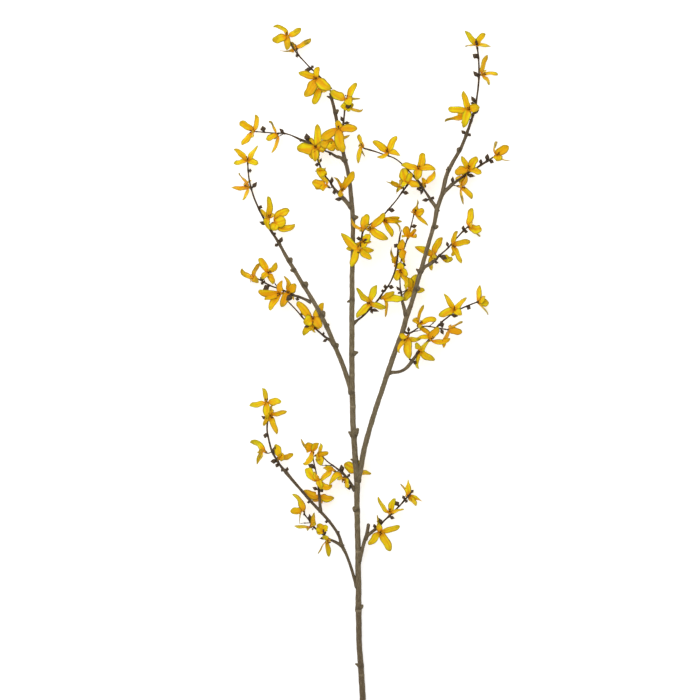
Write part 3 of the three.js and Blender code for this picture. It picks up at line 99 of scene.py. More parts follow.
# Routes: x, y, height, radius. Shoots: foot x, y, tip x, y, thickness, rise over the foot
stems = {
    "main": {"node": "main_stem", "route": [
        (363, 708, 3.42, 3.8), (361.5, 676, 5, 3.7), (359.3, 645, 7, 3.5), (358.6, 610, 10, 3.7),
        (358.2, 560, 15, 3.6), (357, 505, 20.5, 3.4), (357, 480, 23, 3.8), (353.9, 440, 26, 3.5),
        (352.4, 400, 27.5, 3.6), (351.9, 365, 28.5, 3.4), (351.9, 320, 29, 3.3), (352.2, 275, 29.5, 3.1),
        (353, 240, 29.5, 2.75), (352.4, 212, 29, 2.9), (348, 172, 28.5, 2.5), (343.9, 156, 28, 2.4),
        (339.6, 135, 27.5, 2.3), (335, 113, 27, 2.1), (331.5, 98, 26.5, 1.9), (330.3, 94, 26.5, 1.3),
    ], "shoots": [
        (360, 667, 355, 664.5, 1.6, 1), (359, 609, 363.4, 605.5, 2.2, 1), (357, 511, 352.7, 507, 2.6, 1),
        (354.5, 461, 350.2, 459.2, 1.4, 1), (354, 436, 348.2, 431.5, 2, 1), (354, 436, 358.6, 428, 2.6, 1),
        (352, 354, 358.5, 352.2, 2, 1), (352, 300, 346.8, 302.4, 1.4, 1), (353, 218, 358.6, 217.2, 2.4, 1),
        (345.5, 161, 347.9, 159.8, 1.4, 1), (334.5, 113, 338.8, 110, 2, 1), (331, 98, 326.5, 96.4, 1.2, 0),
    ]},
    "top": {"node": "main_stem", "route": [
        (331.8, 98, 26.5, 1), (329, 87, 26, 0.95), (323, 80, 25, 0.9), (316, 73, 23.5, 0.9),
        (311, 68.5, 22.5, 1), (304, 61, 20, 0.85), (298.5, 55, 18.5, 1), (294, 49, 17, 0.85),
        (289.5, 40.5, 15.5, 0.8),
    ], "shoots": [
        (298.5, 55, 295.5, 56.5, 3, 0.5), (311, 68, 313.6, 65.4, 2.8, 1), (311.5, 69.5, 304.4, 69.9, 3.6, 1),
        (298.3, 54, 295.6, 44, 1.8, 1.5), (329, 86, 332.6, 89.4, 1.6, 0),
    ]},
    "topSide": {"node": "main_stem", "route": [
        (341.5, 136, 27.5, 1.2), (343.2, 126.5, 27.5, 1.2), (343.6, 121, 27, 1.2), (344.3, 115, 26.5, 1.1),
        (344.8, 108, 26, 1.2), (344.7, 103.5, 25.5, 1.1),
    ], "shoots": [
        (343.4, 122.5, 340.7, 116, 2.8, 1), (344, 123.8, 349.8, 122.8, 2.8, 0.5),
        (344.7, 107, 351.3, 105.8, 3.6, 9),
    ]},
    "innerLeft": {"node": "main_stem", "route": [
        (352, 209, 29, 2), (349, 205, 29, 2.7), (345, 200.3, 28.5, 2.7), (340, 195, 27.5, 2.1),
        (333, 187, 26.5, 1.4), (329, 180.5, 26, 0.95), (325, 175.5, 25.5, 0.9), (320.2, 166, 24.5, 0.95),
        (316.5, 157, 24, 0.9),
    ], "shoots": [
        (332, 184.5, 332, 176.4, 3, 1), (337, 191.5, 332.2, 193, 4, 1), (344, 199.5, 334.5, 199.3, 3.2, 1),
        (319.5, 164.5, 314.6, 165, 3.2, 1), (319.5, 163, 321.6, 158, 2.2, 1), (322.5, 172, 314.3, 171, 2, 0),
    ]},
    "centre": {"node": "main_stem", "route": [
        (355, 491, 22, 1.9), (351, 484, 22.5, 1.9), (347, 478, 23, 1.7), (342.5, 473, 23, 1.6),
        (337.5, 469, 23, 1.2), (333, 465.5, 23, 0.9), (328, 462, 22.5, 0.85), (323, 457, 22, 0.85),
    ], "shoots": [
        (342, 474, 341.2, 464.3, 4, 1), (352.5, 486.5, 346.3, 487.8, 4.2, 2), (347, 478, 350, 473.5, 2.4, 1),
        (333, 465.5, 320.3, 465.3, 1.4, 0),
    ]},
    "left": {"node": "left_branch", "route": [
        (352, 394, 28, 2.9), (347.9, 380, 28, 3), (341.6, 362.3, 28, 2.9), (333.6, 342.7, 28, 2.8),
        (322, 316.8, 28, 2.7), (308.6, 293.6, 27.5, 2.6), (298.8, 277.5, 27, 2.5), (288, 259.5, 26, 2.4),
        (279, 243.4, 25, 1.8), (266.7, 223.6, 23, 1.3), (255.2, 200.6, 20, 1.1), (249.5, 181.5, 17.5, 0.95),
        (248, 170, 16.5, 0.9), (247.6, 162.5, 16, 0.8),
    ], "shoots": [
        (289, 261, 292.6, 258.4, 2.6, 0.5), (294, 270, 290.2, 270.8, 2, 0), (304, 286, 307.8, 282.3, 3, 0.5),
        (321, 315, 325.4, 311.8, 3, 0.5), (326, 326, 329.6, 325, 2.4, 0), (335, 346, 339, 344.6, 2.4, 0),
        (248.3, 170.5, 251.8, 170.6, 3.4, 0.5), (252, 188, 257, 181.6, 3.4, 1),
        (259.3, 209.5, 261.2, 204.8, 3.2, 1), (266.3, 225.3, 259, 221.7, 3.2, 1),
        (273.5, 232, 276.4, 234.3, 2.4, 1), (280, 244, 282.4, 236.8, 3.4, 1), (279, 243.5, 274.6, 246.6, 3, 1),
    ]},
    "leftUpperTwig": {"node": "left_branch", "route": [
        (311.5, 302.5, 27, 1.8), (306, 299.7, 27, 1.8), (300, 297.2, 26, 1.7), (293, 295, 24.5, 1.7),
        (286, 291.5, 23, 1.1), (279, 288.5, 21, 0.9), (272, 286.3, 19.5, 0.95), (265, 282.8, 18, 0.95),
        (258.5, 279.2, 16, 0.9), (249.5, 276, 14, 0.8),
    ], "shoots": [
        (292, 295.5, 286, 300.4, 4.6, 9), (298, 297, 297, 301, 3.4, 1), (269.5, 285.5, 262.8, 289.6, 4.6, 1),
        (263, 281.6, 260.2, 276.5, 3, 1), (263, 281.8, 261, 284.6, 3, 1), (278, 288, 273.7, 281.6, 1.3, 2),
    ]},
    "leftLowerTwig": {"node": "left_branch", "route": [
        (334, 345.5, 27, 1.9), (330, 340.3, 26.5, 1.9), (325.5, 337.3, 25, 1.4), (318, 331, 23, 1.1),
        (312, 326, 21.5, 1), (303.5, 318.5, 20, 1.1), (297, 311, 19.5, 0.9), (288.5, 302, 19, 0.85),
    ], "shoots": [
        (328, 339.8, 322.6, 341.8, 2.6, 1), (324, 336, 323.4, 331.6, 1.8, 1), (302, 317, 300.8, 312.4, 2.6, 1),
        (310.3, 325.9, 304, 327.3, 2.6, 10),
    ]},
    "upperLeft": {"node": "upper_left_twig", "route": [
        (345.5, 161.5, 28, 2.2), (341, 158, 28, 2.1), (336, 156.5, 27.5, 2), (330.5, 153, 27, 1.3),
        (320.5, 149.3, 26, 0.8), (314, 146, 25.5, 0.85), (308.5, 142.3, 25, 1.9), (302.5, 140.5, 24, 1.7),
        (291, 135.2, 21.5, 0.8), (284.5, 133.4, 20, 0.95), (276, 133, 18, 0.8), (264, 132.1, 16, 0.8),
        (256, 131.4, 15, 0.7),
    ], "shoots": [
        (308, 142, 306.3, 133.2, 4.8, 1), (302, 140.5, 299.2, 140.8, 2.4, 0),
        (284.5, 133, 279.2, 128.4, 2.8, 1), (284, 134, 278.3, 136.6, 1.8, 0),
        (264, 131.5, 262.5, 125.6, 4.6, 1), (331, 153.5, 328.8, 155, 2.4, 1),
        (338, 157.5, 332.2, 155.4, 1.5, 1),
    ]},
    "inner": {"node": "main_stem", "route": [
        (353, 324, 29, 1.8), (357, 320.5, 29, 1.6), (361.5, 317.3, 29, 1.3), (370, 309, 28.5, 1.2),
        (376, 302.3, 28.5, 1.1), (379.5, 298, 28.5, 1.4), (382.5, 293.5, 28, 1.1), (388.5, 285.5, 27.5, 0.95),
        (394, 274, 27, 1.15), (396.8, 262, 26, 1.3), (398.3, 247, 25, 1.3), (400.3, 234, 24, 1.05),
        (401.4, 230, 24, 0.5),
    ], "shoots": [
        (385.5, 290, 385, 284.1, 3, 1), (385, 290.5, 380.8, 291.4, 2.8, 1),
        (388.3, 286.5, 394.2, 287.5, 3.6, 1), (370.5, 309, 379.2, 311.5, 2.6, 0),
        (371, 308.5, 372.6, 314, 2.8, -1), (398, 247.5, 393.8, 244.2, 4, 1),
    ]},
    "cross": {"node": "cross_twig", "route": [
        (357, 248, 30, 1.7), (360, 243.5, 31, 1.5), (361.5, 238.5, 31, 1.3), (363.5, 231, 31, 1),
        (370, 224.5, 31, 0.9), (377, 219.5, 30.5, 0.9), (384.5, 214, 30, 1), (388, 210, 29.5, 1.1),
        (396.5, 200, 28.5, 0.85), (401.5, 193, 28, 1), (406, 187, 27.5, 1.2), (410.6, 180.8, 27, 1.5),
    ], "shoots": [
        (361, 238.5, 356.2, 238.5, 3.2, 1), (361.6, 240.3, 370.6, 239.7, 2.6, 1),
        (388.5, 210.3, 395, 210.8, 3.8, 0.5), (402, 192.5, 409, 193.4, 3.4, 1), (403.5, 190, 402, 182, 2.4, 1),
    ]},
    "right": {"node": "right_branch", "route": [
        (357.5, 482, 23, 3), (360.5, 470, 24, 3.3), (364, 450, 25.5, 3.4), (369.3, 430, 27, 3.2),
        (375.4, 410, 28, 3.2), (382, 390, 28.5, 3.1), (388.7, 370, 29, 3.4), (395.5, 350, 29, 3.1),
        (403, 330, 29, 3.2), (406.3, 318, 29, 3.2), (411.5, 303, 29, 2.8), (419.5, 275, 29, 2.8),
        (423.5, 261, 28.5, 2.6), (429.6, 240, 28, 2.55), (434.5, 223, 27.5, 2.5), (437, 209, 27, 2.9),
        (441.8, 195, 26.5, 2.6), (447, 174, 25.5, 2.6), (454, 160, 24.5, 2.35), (461, 148, 23.5, 2.2),
        (468, 130, 22, 1.85), (473, 115, 20.5, 1.4), (477, 97, 18.5, 1.2), (479, 77, 17, 1.15),
        (478.6, 57, 16, 1), (477.4, 47, 15.5, 0.85),
    ], "shoots": [
        (419, 272, 415.8, 269, 1.6, 0.5), (435, 228, 438.6, 226.6, 2.2, 0.5), (416, 290, 420.4, 287.4, 2.4, 0),
        (460, 150.5, 456.6, 148.8, 2.5, 0.5), (450, 171, 446, 170.8, 2.8, 0.5),
        (466, 135, 461.2, 130.3, 3, 0.5), (467.5, 133, 471.2, 136.2, 2.8, 0.5),
        (478.2, 58, 472.6, 53.8, 4.4, 1), (478.6, 77.5, 473.2, 70.8, 3.4, 1),
        (475.5, 103.5, 470.4, 102.6, 2.6, 1), (475.5, 103, 471.2, 96, 3.2, 1),
        (472.8, 115, 479.4, 109.6, 2, -1), (477.4, 47.6, 475.7, 38.2, 2, 8),
    ]},
    "rightSide": {"node": "right_branch", "route": [
        (441.5, 196.5, 26.2, 1.5), (445.5, 190.8, 25.9, 2.5), (449.5, 187, 25.5, 2.4), (452, 184.5, 25, 2.2),
        (460, 178.8, 24, 1.5), (468, 173, 22.5, 1.1), (475, 169, 21, 1.2), (480, 165.5, 20, 1.4),
        (489, 160, 18.5, 1.4), (493.5, 157, 17, 0.8),
    ], "shoots": [
        (451.5, 184, 452.9, 176.3, 2.8, 1), (466, 174.8, 475.4, 176.3, 3.2, 0),
        (480.5, 164.8, 481, 158.6, 3, 1), (486.5, 161.5, 487.8, 153.4, 3.6, 0.5),
        (488.5, 160, 494, 162.6, 3.4, 0.5),
    ]},
    "rightInner": {"node": "right_branch", "route": [
        (406.2, 316, 29, 2.3), (403.5, 306, 29, 2.3), (402, 300, 28.5, 1.7), (401.6, 295.5, 28, 1.3),
        (400.3, 288, 28, 0.9), (399.8, 276, 27.5, 0.85), (400, 268, 27, 0.85), (402.3, 255, 26, 0.85),
        (404.3, 248, 25.5, 0.85), (409, 234, 24.5, 0.8), (411.8, 223, 23.5, 0.8), (413.8, 215, 23, 0.7),
    ], "shoots": [
        (411.3, 227, 417.2, 225.2, 3.4, 0.5), (401.8, 296, 406.4, 290.4, 1.8, 0),
        (400.6, 291.5, 396, 286.2, 2.4, 1), (400.8, 291.5, 397.4, 294, 2, -1),
        (400.6, 263.5, 406.2, 265.4, 3.4, 1),
    ]},
    "rightThin": {"node": "right_branch", "route": [
        (403.5, 331.5, 28.5, 1.3), (408.3, 333.4, 31, 1.2), (412, 332, 31, 1), (419, 327.4, 30, 0.85),
        (424, 326.3, 29.5, 0.8), (430, 326.6, 29, 0.8), (436, 327.8, 28.5, 0.85), (446, 329.4, 27.5, 0.8),
    ], "shoots": [
        (408.6, 333, 408.5, 326.4, 2.6, 1), (440.5, 329, 443.6, 334.8, 3, 0.5),
        (429, 326.5, 436, 320.6, 1.4, 0.5), (412, 331.6, 421, 330.2, 1.4, 0),
    ]},
    "rightCross": {"node": "right_cross_twig", "route": [
        (438.3, 212, 26.5, 1.8), (434, 204.5, 26, 2.4), (431, 200.5, 25.5, 2.3), (428.5, 196.5, 25, 1.7),
        (424.5, 190.5, 24, 1.3), (418.3, 181.3, 23, 1.6), (413.5, 176, 22.5, 1.4), (409.5, 171.5, 22, 1),
        (401, 163, 21.5, 0.85), (394, 158, 21, 0.85), (382, 153.8, 20, 0.85), (376, 151.7, 19.5, 0.9),
        (369, 149.6, 19, 1.3), (364.2, 148.3, 18.5, 0.8),
    ], "shoots": [
        (431.5, 200.5, 433.9, 196.5, 3, 1), (429.5, 200, 421.6, 200.3, 3, 1),
        (422, 187.5, 416.2, 189.3, 4.4, 1), (422, 188.5, 420.8, 195, 2.6, 1),
    ]},
    "rightMiddle": {"node": "right_middle_twig", "route": [
        (420, 273.5, 29, 1.9), (425, 267, 29, 2.2), (430, 264, 28.5, 2.4), (434.5, 260.5, 28, 2),
        (438.5, 256.5, 27.5, 1.5), (443, 252.5, 26.5, 1), (448, 248, 25, 1), (454.5, 240.5, 22.5, 0.85),
        (463, 231.3, 19.5, 1.1), (467.6, 226.9, 17.5, 0.8),
    ], "shoots": [
        (433.5, 262, 438.8, 262.9, 2.2, 0), (439.5, 255.7, 446.8, 259, 4.2, 5),
        (448.4, 247.5, 446.8, 241.3, 2.6, 1), (463.3, 231.5, 463.4, 225.2, 2.8, 1),
        (463.3, 231.3, 468.2, 231.9, 3, 0.5),
    ]},
    "rightLow": {"node": "right_low_twig", "route": [
        (387.5, 373.2, 29, 2), (392, 372.4, 29, 2.1), (397, 372.2, 29, 2.1), (401.5, 371, 29, 2),
        (406, 368.3, 29, 2.2), (409.5, 364.5, 28.5, 2.4), (412.3, 360.7, 28.5, 2.4), (415.5, 356, 28, 1.7),
        (418, 351.5, 27.5, 1.3), (424, 345, 26, 1.1), (429.5, 338.5, 25, 1.1), (433.5, 331.5, 24, 1.1),
        (437.5, 326.5, 23.5, 1.2), (442, 321.7, 23, 1.1), (448, 317, 22, 1), (454, 312, 21, 0.95),
        (462, 308.2, 19.5, 0.95), (470, 304.8, 18, 0.95), (477.3, 302, 17, 0.9),
    ], "shoots": [
        (412.5, 361, 417, 363.8, 3.6, 0.5), (411.5, 361.5, 408.8, 357.4, 1.8, 0),
        (439, 325.3, 444.3, 323.6, 6, 1), (450.8, 314.8, 458.4, 316.1, 3.4, 0.5),
        (466.5, 306.4, 470.8, 308.9, 3.8, 0.5),
    ]},
    "lowerLeft": {"node": "lower_left_twig", "route": [
        (357, 588, 12.5, 1.9), (354, 578, 13.5, 2.1), (350.5, 566, 14.5, 1.9), (346, 554, 16, 1.9),
        (342, 546, 17, 2.5), (338.5, 535, 18, 1.9), (330.5, 523, 19, 1.9), (320.3, 511.5, 20, 2.1),
        (310, 500.5, 20.5, 1.8), (300.5, 489.5, 20.5, 1.8), (291, 478.5, 20, 2.1), (286, 472.3, 19.5, 2.4),
        (281, 466.5, 19, 1.5), (277, 460.5, 18, 1.3), (272, 451.5, 17, 1.35), (268.8, 440, 16, 1.2),
        (267, 430, 15, 1.15), (267.6, 418, 14.5, 1.1), (268, 406, 14, 0.9),
    ], "shoots": [
        (338, 534, 339, 530.8, 2, 1), (329, 521.5, 324.4, 522, 2.4, 1), (311, 502, 306.8, 502.4, 2.4, 1),
        (303, 492, 300.3, 488, 2, 1), (287, 472.5, 287.4, 466.8, 2.8, 1), (277.5, 462, 270.2, 461.4, 3.8, 1),
        (278, 462.5, 275.8, 467.6, 3.2, -1), (274.6, 453.5, 275.2, 446, 3.4, 7), (267.8, 436, 263, 435, 4.4, 1),
        (267.4, 420, 261, 415.6, 2.6, 1), (281.5, 467.5, 282, 472.5, 1.8, 0),
    ]},
    "lowerMiddle": {"node": "lower_left_twig", "route": [
        (320.5, 512.5, 20, 1.8), (319.9, 503, 21, 2), (319.2, 495, 21.5, 1.5), (318.3, 487, 22, 1.2),
        (317.5, 480, 22, 0.9), (316.5, 474, 22, 0.8), (314.6, 466, 21.5, 0.85), (313.4, 460, 21, 0.8),
        (312.4, 453, 20.5, 0.9),
    ], "shoots": [
        (315.2, 468.3, 308, 464.6, 4.4, 2), (318.3, 490, 312.2, 487, 3, 1), (319, 492, 323.4, 488.4, 3.8, 2),
    ]},
    "lowerSide": {"node": "lower_left_twig", "route": [
        (343.5, 547, 17, 2), (338, 543.5, 17, 2), (333, 541, 17, 1.8), (328, 538.5, 17, 1.2),
        (321, 533, 17.5, 1.2), (313, 526.3, 18, 1.2), (309.8, 521.3, 18, 1), (304, 514, 17.5, 0.8),
    ], "shoots": [
        (310, 521.5, 309.4, 513.8, 3, 1), (325, 535.6, 323, 529.2, 3.6, 8), (326, 538, 319.4, 538.8, 2.6, 1),
        (310.8, 523, 300, 523.4, 1, 0), (305, 515.5, 303.4, 513.5, 2.4, 0),
    ]},
    "lowerRight": {"node": "lower_right_twig", "route": [
        (358.7, 563, 15, 2.2), (361, 555, 15.5, 2.5), (363.4, 545, 16.5, 2.3), (366.2, 537.5, 17, 2.6),
        (371, 532.8, 17.5, 2.2), (376, 529, 18, 1.9), (380, 525.2, 18.3, 1.6), (385.5, 519.5, 18.5, 1),
        (389, 516.5, 18.5, 1.4), (395, 510.5, 18.5, 1), (400.5, 505, 18, 1), (404.5, 500.5, 17.5, 1.3),
        (408, 496.5, 17, 1), (411, 493, 16.5, 0.9),
    ], "shoots": [
        (410.5, 493.5, 413.8, 489.7, 2.6, 0.5), (405, 500.5, 402.6, 495.3, 2.8, 1),
        (404.5, 500, 407.8, 502.2, 3.2, 0), (399, 506.5, 395.3, 501, 4, 1), (389.3, 516.8, 394.9, 518.4, 3, 0),
        (375, 529.5, 374, 523.8, 2.8, 1), (380.3, 525, 379, 518, 4.6, 1),
    ]},
    "lowerRightStub": {"node": "lower_right_twig", "route": [
        (365.5, 540, 17, 1.9), (366.6, 535, 17.6, 2.1), (367.6, 530, 18.2, 2.2), (368.4, 525.2, 19, 2.3),
    ], "shoots": []},
}


def bloom(node, stem, root, throat, *petals, **extra):
    return {"node": node, "stem": stem, "root": root, "throat": throat, "petals": petals, **extra}


# Foot on the stem: x, y. Throat: x, y, rise over the stem. Petals: tip x, y, rise as a share of what its reach
# leaves or "floor", breadth as a share of the full width, and a point x, y on the way of a bent one. The order
# of the list sets the random draws
flowers = [
    bloom("flowers_lower_left_tip", "lowerLeft", (268, 406), (266.8, 402, 5),
          (262, 388, 0.1, 0.65, 264.8, 394.6), (249.3, 404.9, 0.1, 0.75, 257.5, 404.4),
          (281.4, 401.5, 0.2, 0.95, 274.3, 401.8), (265.6, 418.5, 0.3, 0.85, 267.3, 410.5), tone=0.82),
    bloom("flowers_lower_left_tip", "lowerLeft", (268, 417), (270.8, 416, 4.5),
          (286.9, 411.2, 0.1, 0.7, 279.5, 412.8), (276.8, 434.4, 0.1, 0.72, 273.3, 425),
          (263.7, 426, -0.1, 0.6, 266, 419.5), (271.8, 404.5, 0.4, 0.35, 270.3, 410.5), tone=0.5),
    bloom("flowers_lower_left_low", "lowerLeft", (272, 452), (262.8, 450, 0),
          (250, 442.5, 0.2, 0.7, 258.4, 444.6), (256.5, 464.9, 0.1, 0.55, 260.6, 456), (258.2, 456.3, 0.5, 0.6),
          (258.5, 451, "floor", 0.5), tone=0.6, dry=0.82),
    bloom("flowers_lower_left_low", "lowerLeft", (278, 460), (279.6, 458.6, 4),
          (292.9, 453.3, 0.2, 0.75, 286.5, 456.9), (275.3, 444.3, 0.2, 1, 278.3, 451.5), (284.5, 456, 0.7, 0.9),
          (279, 455, 0.8, 0.7), tone=0.45),
    bloom("flowers_lower_middle_tip", "lowerMiddle", (312.8, 456), (313, 450, 3),
          (301.4, 438.4, 0.1, 0.35, 304.8, 446.5), (317.3, 441.8, 0.6, 0.8),
          (303, 463.2, -0.1, 0.7, 309.8, 459.4), (304.3, 447, 0.3, 1.3), tone=0.35),
    bloom("flowers_lower_middle_tip", "lowerMiddle", (313, 457), (319, 454.5, 4), (320.6, 442.5, 0.1, 0.55),
          (328.5, 453, 0.3, 0.7), (321, 465.6, 0.1, 1.05), (316, 459, 0.7, 0.8), tone=0.5),
    bloom("flowers_lower_middle", "lowerMiddle", (318, 482), (317.7, 479.5, 5),
          (306.8, 467.9, 0.1, 1.05, 310.3, 473.5), (331.8, 484.2, 0.2, 0.8, 325, 486.8), (315.5, 472, 0.8, 0.6),
          (321.5, 489, 0.4, 0.85), tone=0.4),
    bloom("flowers_lower_middle", "lowerMiddle", (319, 494), (319, 496.5, -5), (303.4, 490.4, 0, 1.05),
          (334.2, 497.8, 0, 1), (314, 502, -0.6, 0.9), (321, 503, -0.9, 0.6), tone=0.12),
    bloom("flowers_centre", "centre", (339, 471), (331.5, 468.8, 2.5), (319.5, 480.3, 0.2, 0.7, 326.5, 475),
          (323.5, 467.5, 0.5, 0.45), (329.5, 474, -0.8, 0.5), (326, 471, -0.9, 0.6), tone=0.5),
    bloom("flowers_centre", "centre", (347, 478), (343.5, 480, 5), (329.2, 486, 0.2, 0.8, 337.2, 474.8),
          (348.3, 487, 0.5, 0.75), (339.5, 476, 0.5, 0.7), (346, 476.5, -0.8, 0.5), tone=0.5),
    bloom("flower_fork", "main", (357, 478), (357, 471.5, -7), (344, 464.3, 0, 1.35), (371.4, 473.6, 0, 0.6),
          (356, 459, -0.5, 0.7), (357, 484, -0.8, 0.7), tone=0.45),
    bloom("flowers_lower_side_tip", "lowerSide", (304, 514), (302.5, 509.5, 2),
          (292.2, 494.2, 0.1, 0.5, 299.8, 501.3), (290.2, 511.2, 0.2, 0.95, 297, 511.3),
          (299.2, 524.3, -0.2, 0.2), (300.5, 505.5, -0.8, 0.6), tone=0.6),
    bloom("flowers_lower_side_tip", "lowerSide", (314, 527.5), (311.7, 527.3, 4), (313.6, 512.3, 0.2, 0.7),
          (294.2, 526.8, 0.1, 0.45, 303, 527), (306.5, 528, 0.2, 0.35), (314, 522, 0.5, 0.6), tone=0.7),
    bloom("flowers_lower_side_base", "lowerSide", (322, 534), (322, 530.5, 5), (328, 527, 0.4, 1),
          (316.8, 527, 0.4, 1), (322.3, 523.6, 0.4, 1.15), (319.5, 535, 0.2, 0.9), tone=0.55),
    bloom("flowers_lower_side_base", "lowerSide", (328.5, 539), (327.8, 540.5, 4),
          (328.3, 556.9, 0.1, 0.65, 327.2, 549), (317.7, 554.4, 0, 0.15, 322.3, 546.5),
          (322.5, 536.5, 0.6, 0.6), (331, 541.5, -0.8, 0.5), tone=1),
    bloom("flower_lower_right_base", "lowerRight", (378, 527.5), (380.3, 532.5, 6),
          (400, 526.3, 0.1, 0.78, 390.5, 529), (390.2, 551.2, 0.1, 1.1, 386, 541.5),
          (368.6, 544.9, 0.2, 0.92, 374.5, 538.3), (377.4, 514.7, -0.4, 0.15, 378, 524), tone=0.7),
    bloom("flower_lower_right_middle", "lowerRight", (389, 516), (389.5, 511.5, 3.5),
          (378.7, 496.5, 0.1, 0.55, 383.3, 507), (395, 498, 0.1, 0.82, 391.8, 505),
          (403.8, 508.7, -0.1, 0.4, 397, 510.3), (391.5, 515, -0.8, 0.5), tone=0.85),
    bloom("flower_lower_right_tip", "lowerRight", (408, 496.3), (409, 496.6, -3.5),
          (408.6, 479.8, 0.1, 0.5, 408, 487), (400.2, 484.2, "floor", 0.22),
          (422.8, 501.5, 0.1, 0.4, 416.5, 499), (416.3, 506.2, -0.2, 0.58, 412.8, 500.8), tone=0.45),
    bloom("flowers_right_middle_base", "rightMiddle", (436, 258.7), (433, 254.5, -5),
          (442.7, 237.6, 0.1, 0.95, 436.8, 245.5), (414.8, 246.8, 0, 0.85), (431.2, 270.6, 0.1, 0.7),
          (436.5, 256, 0.9, 0.8), tone=0.5),
    bloom("flowers_right_middle_base", "rightMiddle", (440, 255.8), (444, 257.8, -0.5),
          (452.9, 258.6, 0.2, 0.7), (449.3, 262.2, 0.2, 0.65), (448.5, 256, 0.1, 0.7), (449, 260, -0.4, 0.6),
          tone=0.9, reach=11),
    bloom("flower_right_middle", "rightMiddle", (451.3, 244.3), (453.5, 246, 4),
          (457.9, 231.6, 0.1, 0.6, 453.4, 237.8), (470.5, 242, 0.1, 0.78, 462, 243),
          (461, 263.6, 0.1, 0.68, 457.3, 254), (451.5, 256, 0.1, 0.55), tone=0.6),
    bloom("flower_right_middle_tip", "rightMiddle", (467.4, 227.1), (469.8, 226.8, -2.5),
          (472.4, 207.9, 0.1, 0.92, 469.8, 217), (482.2, 228.3, 0.3, 1.1, 476, 228.8),
          (480.2, 236.5, "floor", 0.25), (472, 223, 0.9, 0.4), tone=0.6),
    bloom("flowers_right_low", "rightLow", (417.5, 352), (419.5, 351, 5), (416.8, 342.4, 0.5, 0.8),
          (428.5, 341, 0.2, 0.6), (434.9, 359.9, 0.1, 0.88), (418.6, 369.2, 0.1, 0.52, 418, 360.6), tone=1),
    bloom("flowers_right_low", "rightLow", (430.5, 337.3), (431.2, 339, 5), (419.3, 329.6, 0.2, 0.62, 426, 332),
          (438, 327, 0.3, 1), (450.3, 338.6, 0.1, 0.7, 441, 341.8), (415, 339.4, 0.1, 0.6), tone=0.2),
    bloom("flower_right_low_middle", "rightLow", (454, 312), (454.2, 309.3, 5), (443.8, 293.4, 0.1, 0.7),
          (466.4, 297.3, 0.2, 0.6), (438.6, 316, 0.1, 1, 447, 312), (461.5, 315.4, 0.5, 0.95), tone=0.65),
    bloom("flower_right_low_tip", "rightLow", (477.2, 302), (479, 302.3, -2),
          (480.8, 285.1, 0.1, 0.65, 478.3, 293), (484.8, 296.6, 0.5, 0.7), (489.2, 304.4, 0.3, 1),
          (488.3, 315.2, "floor", 0.22), tone=0.75),
    bloom("flower_right_thin_tip", "rightThin", (445.5, 329.4), (450.3, 330, 0),
          (462.4, 321.2, 0.1, 0.32, 455, 325), (461.9, 332.8, 0.3, 0.95), (443.6, 348, 0.1, 0.62, 446.3, 337),
          (448, 326.5, -0.6, 0.6), tone=0),
    bloom("flowers_right_thin", "rightThin", (419.5, 327.2), (419.8, 323, 4), (412.4, 320.8, 0.5, 0.85),
          (424.1, 305.2, 0.1, 0.42, 418.8, 313.5), (436.3, 320.4, 0.1, 0.75, 428, 320.6),
          (417.5, 327.5, 0.6, 0.5), tone=0.6),
    bloom("flowers_right_thin", "rightThin", (407.5, 333.3), (406, 337.5, 4), (398.6, 334.3, 0.4, 0.75),
          (399.4, 353, 0.1, 0.6, 400.5, 345), (409.3, 358.9, 0.1, 1.15), (420.8, 339.6, -0.3, 0.65), tone=0.3),
    bloom("flower_right_inner_tip", "rightInner", (413.6, 216), (414.8, 212.7, 2.5), (424.4, 211.6, 0.3, 1.1),
          (428.5, 225, -0.1, 0.6, 420.3, 219.3), (417.8, 199.2, -0.1, 0.2), (411, 213, 0.6, 0.6), tone=0.28),
    bloom("flowers_right_inner_upper", "rightInner", (407, 240), (408.6, 236.3, 4), (405, 226.3, 0.5, 1),
          (415.6, 229.2, 0.3, 0.5), (415.9, 238.3, 0.5, 0.55), (402, 236.8, 0.5, 0.5), tone=0.15),
    bloom("flowers_right_inner_upper", "rightInner", (404.8, 246.5), (402.2, 250.3, 4.5),
          (402.3, 239.2, 0.3, 1), (400.6, 259, 0.3, 0.95), (403.8, 263.6, 0, 0.5), (398.5, 249.5, -0.6, 0.7),
          tone=0.28),
    bloom("flowers_right_inner_lower", "rightInner", (400, 267), (400.4, 270.8, 4.5), (407.8, 275, 0.4, 0.85),
          (405.3, 290, 0, 0.5, 405.7, 280), (396, 280.8, 0.2, 0.95), (399, 262.3, 0.2, 1), tone=0.45),
    bloom("flowers_right_inner_lower", "rightInner", (400, 267), (395.3, 262.5, -3),
          (392.6, 246.8, 0, 0.3, 392.2, 255), (393, 257, 0.6, 0.9), (398.5, 254, -0.8, 0.4),
          (397.5, 268.5, -0.9, 0.4), tone=0.45),
    bloom("flower_right_inner_base", "rightInner", (401, 292.5), (409.8, 289, -4), (416.6, 274.3, 0.1, 1.25),
          (406, 278, 0.4, 1.25), (424.8, 290.6, -0.2, 0.75), (403.3, 300.8, -0.1, 0.95), tone=0.75),
    bloom("flowers_inner", "inner", (371.5, 307.5), (369.5, 303, 5), (356.6, 287.9, 0.1, 0.75),
          (375.9, 284.8, 0.1, 0.92, 373, 293.3), (356.3, 317.8, 0.1, 0.95),
          (385.6, 307.9, 0.1, 0.75, 378, 306.4), tone=0.85),
    bloom("flowers_inner", "inner", (381, 296), (383.3, 297.3, 4), (404, 298.8, 0.1, 0.95),
          (394.3, 292, 0.5, 0.8), (384.6, 317.1, -0.1, 0.42, 385.6, 306.8), (388, 300, -0.6, 0.6), tone=0.7),
    bloom("flowers_cross_base", "cross", (361, 240.5), (359, 250, 5), (341, 233.4, 0.1, 1.05),
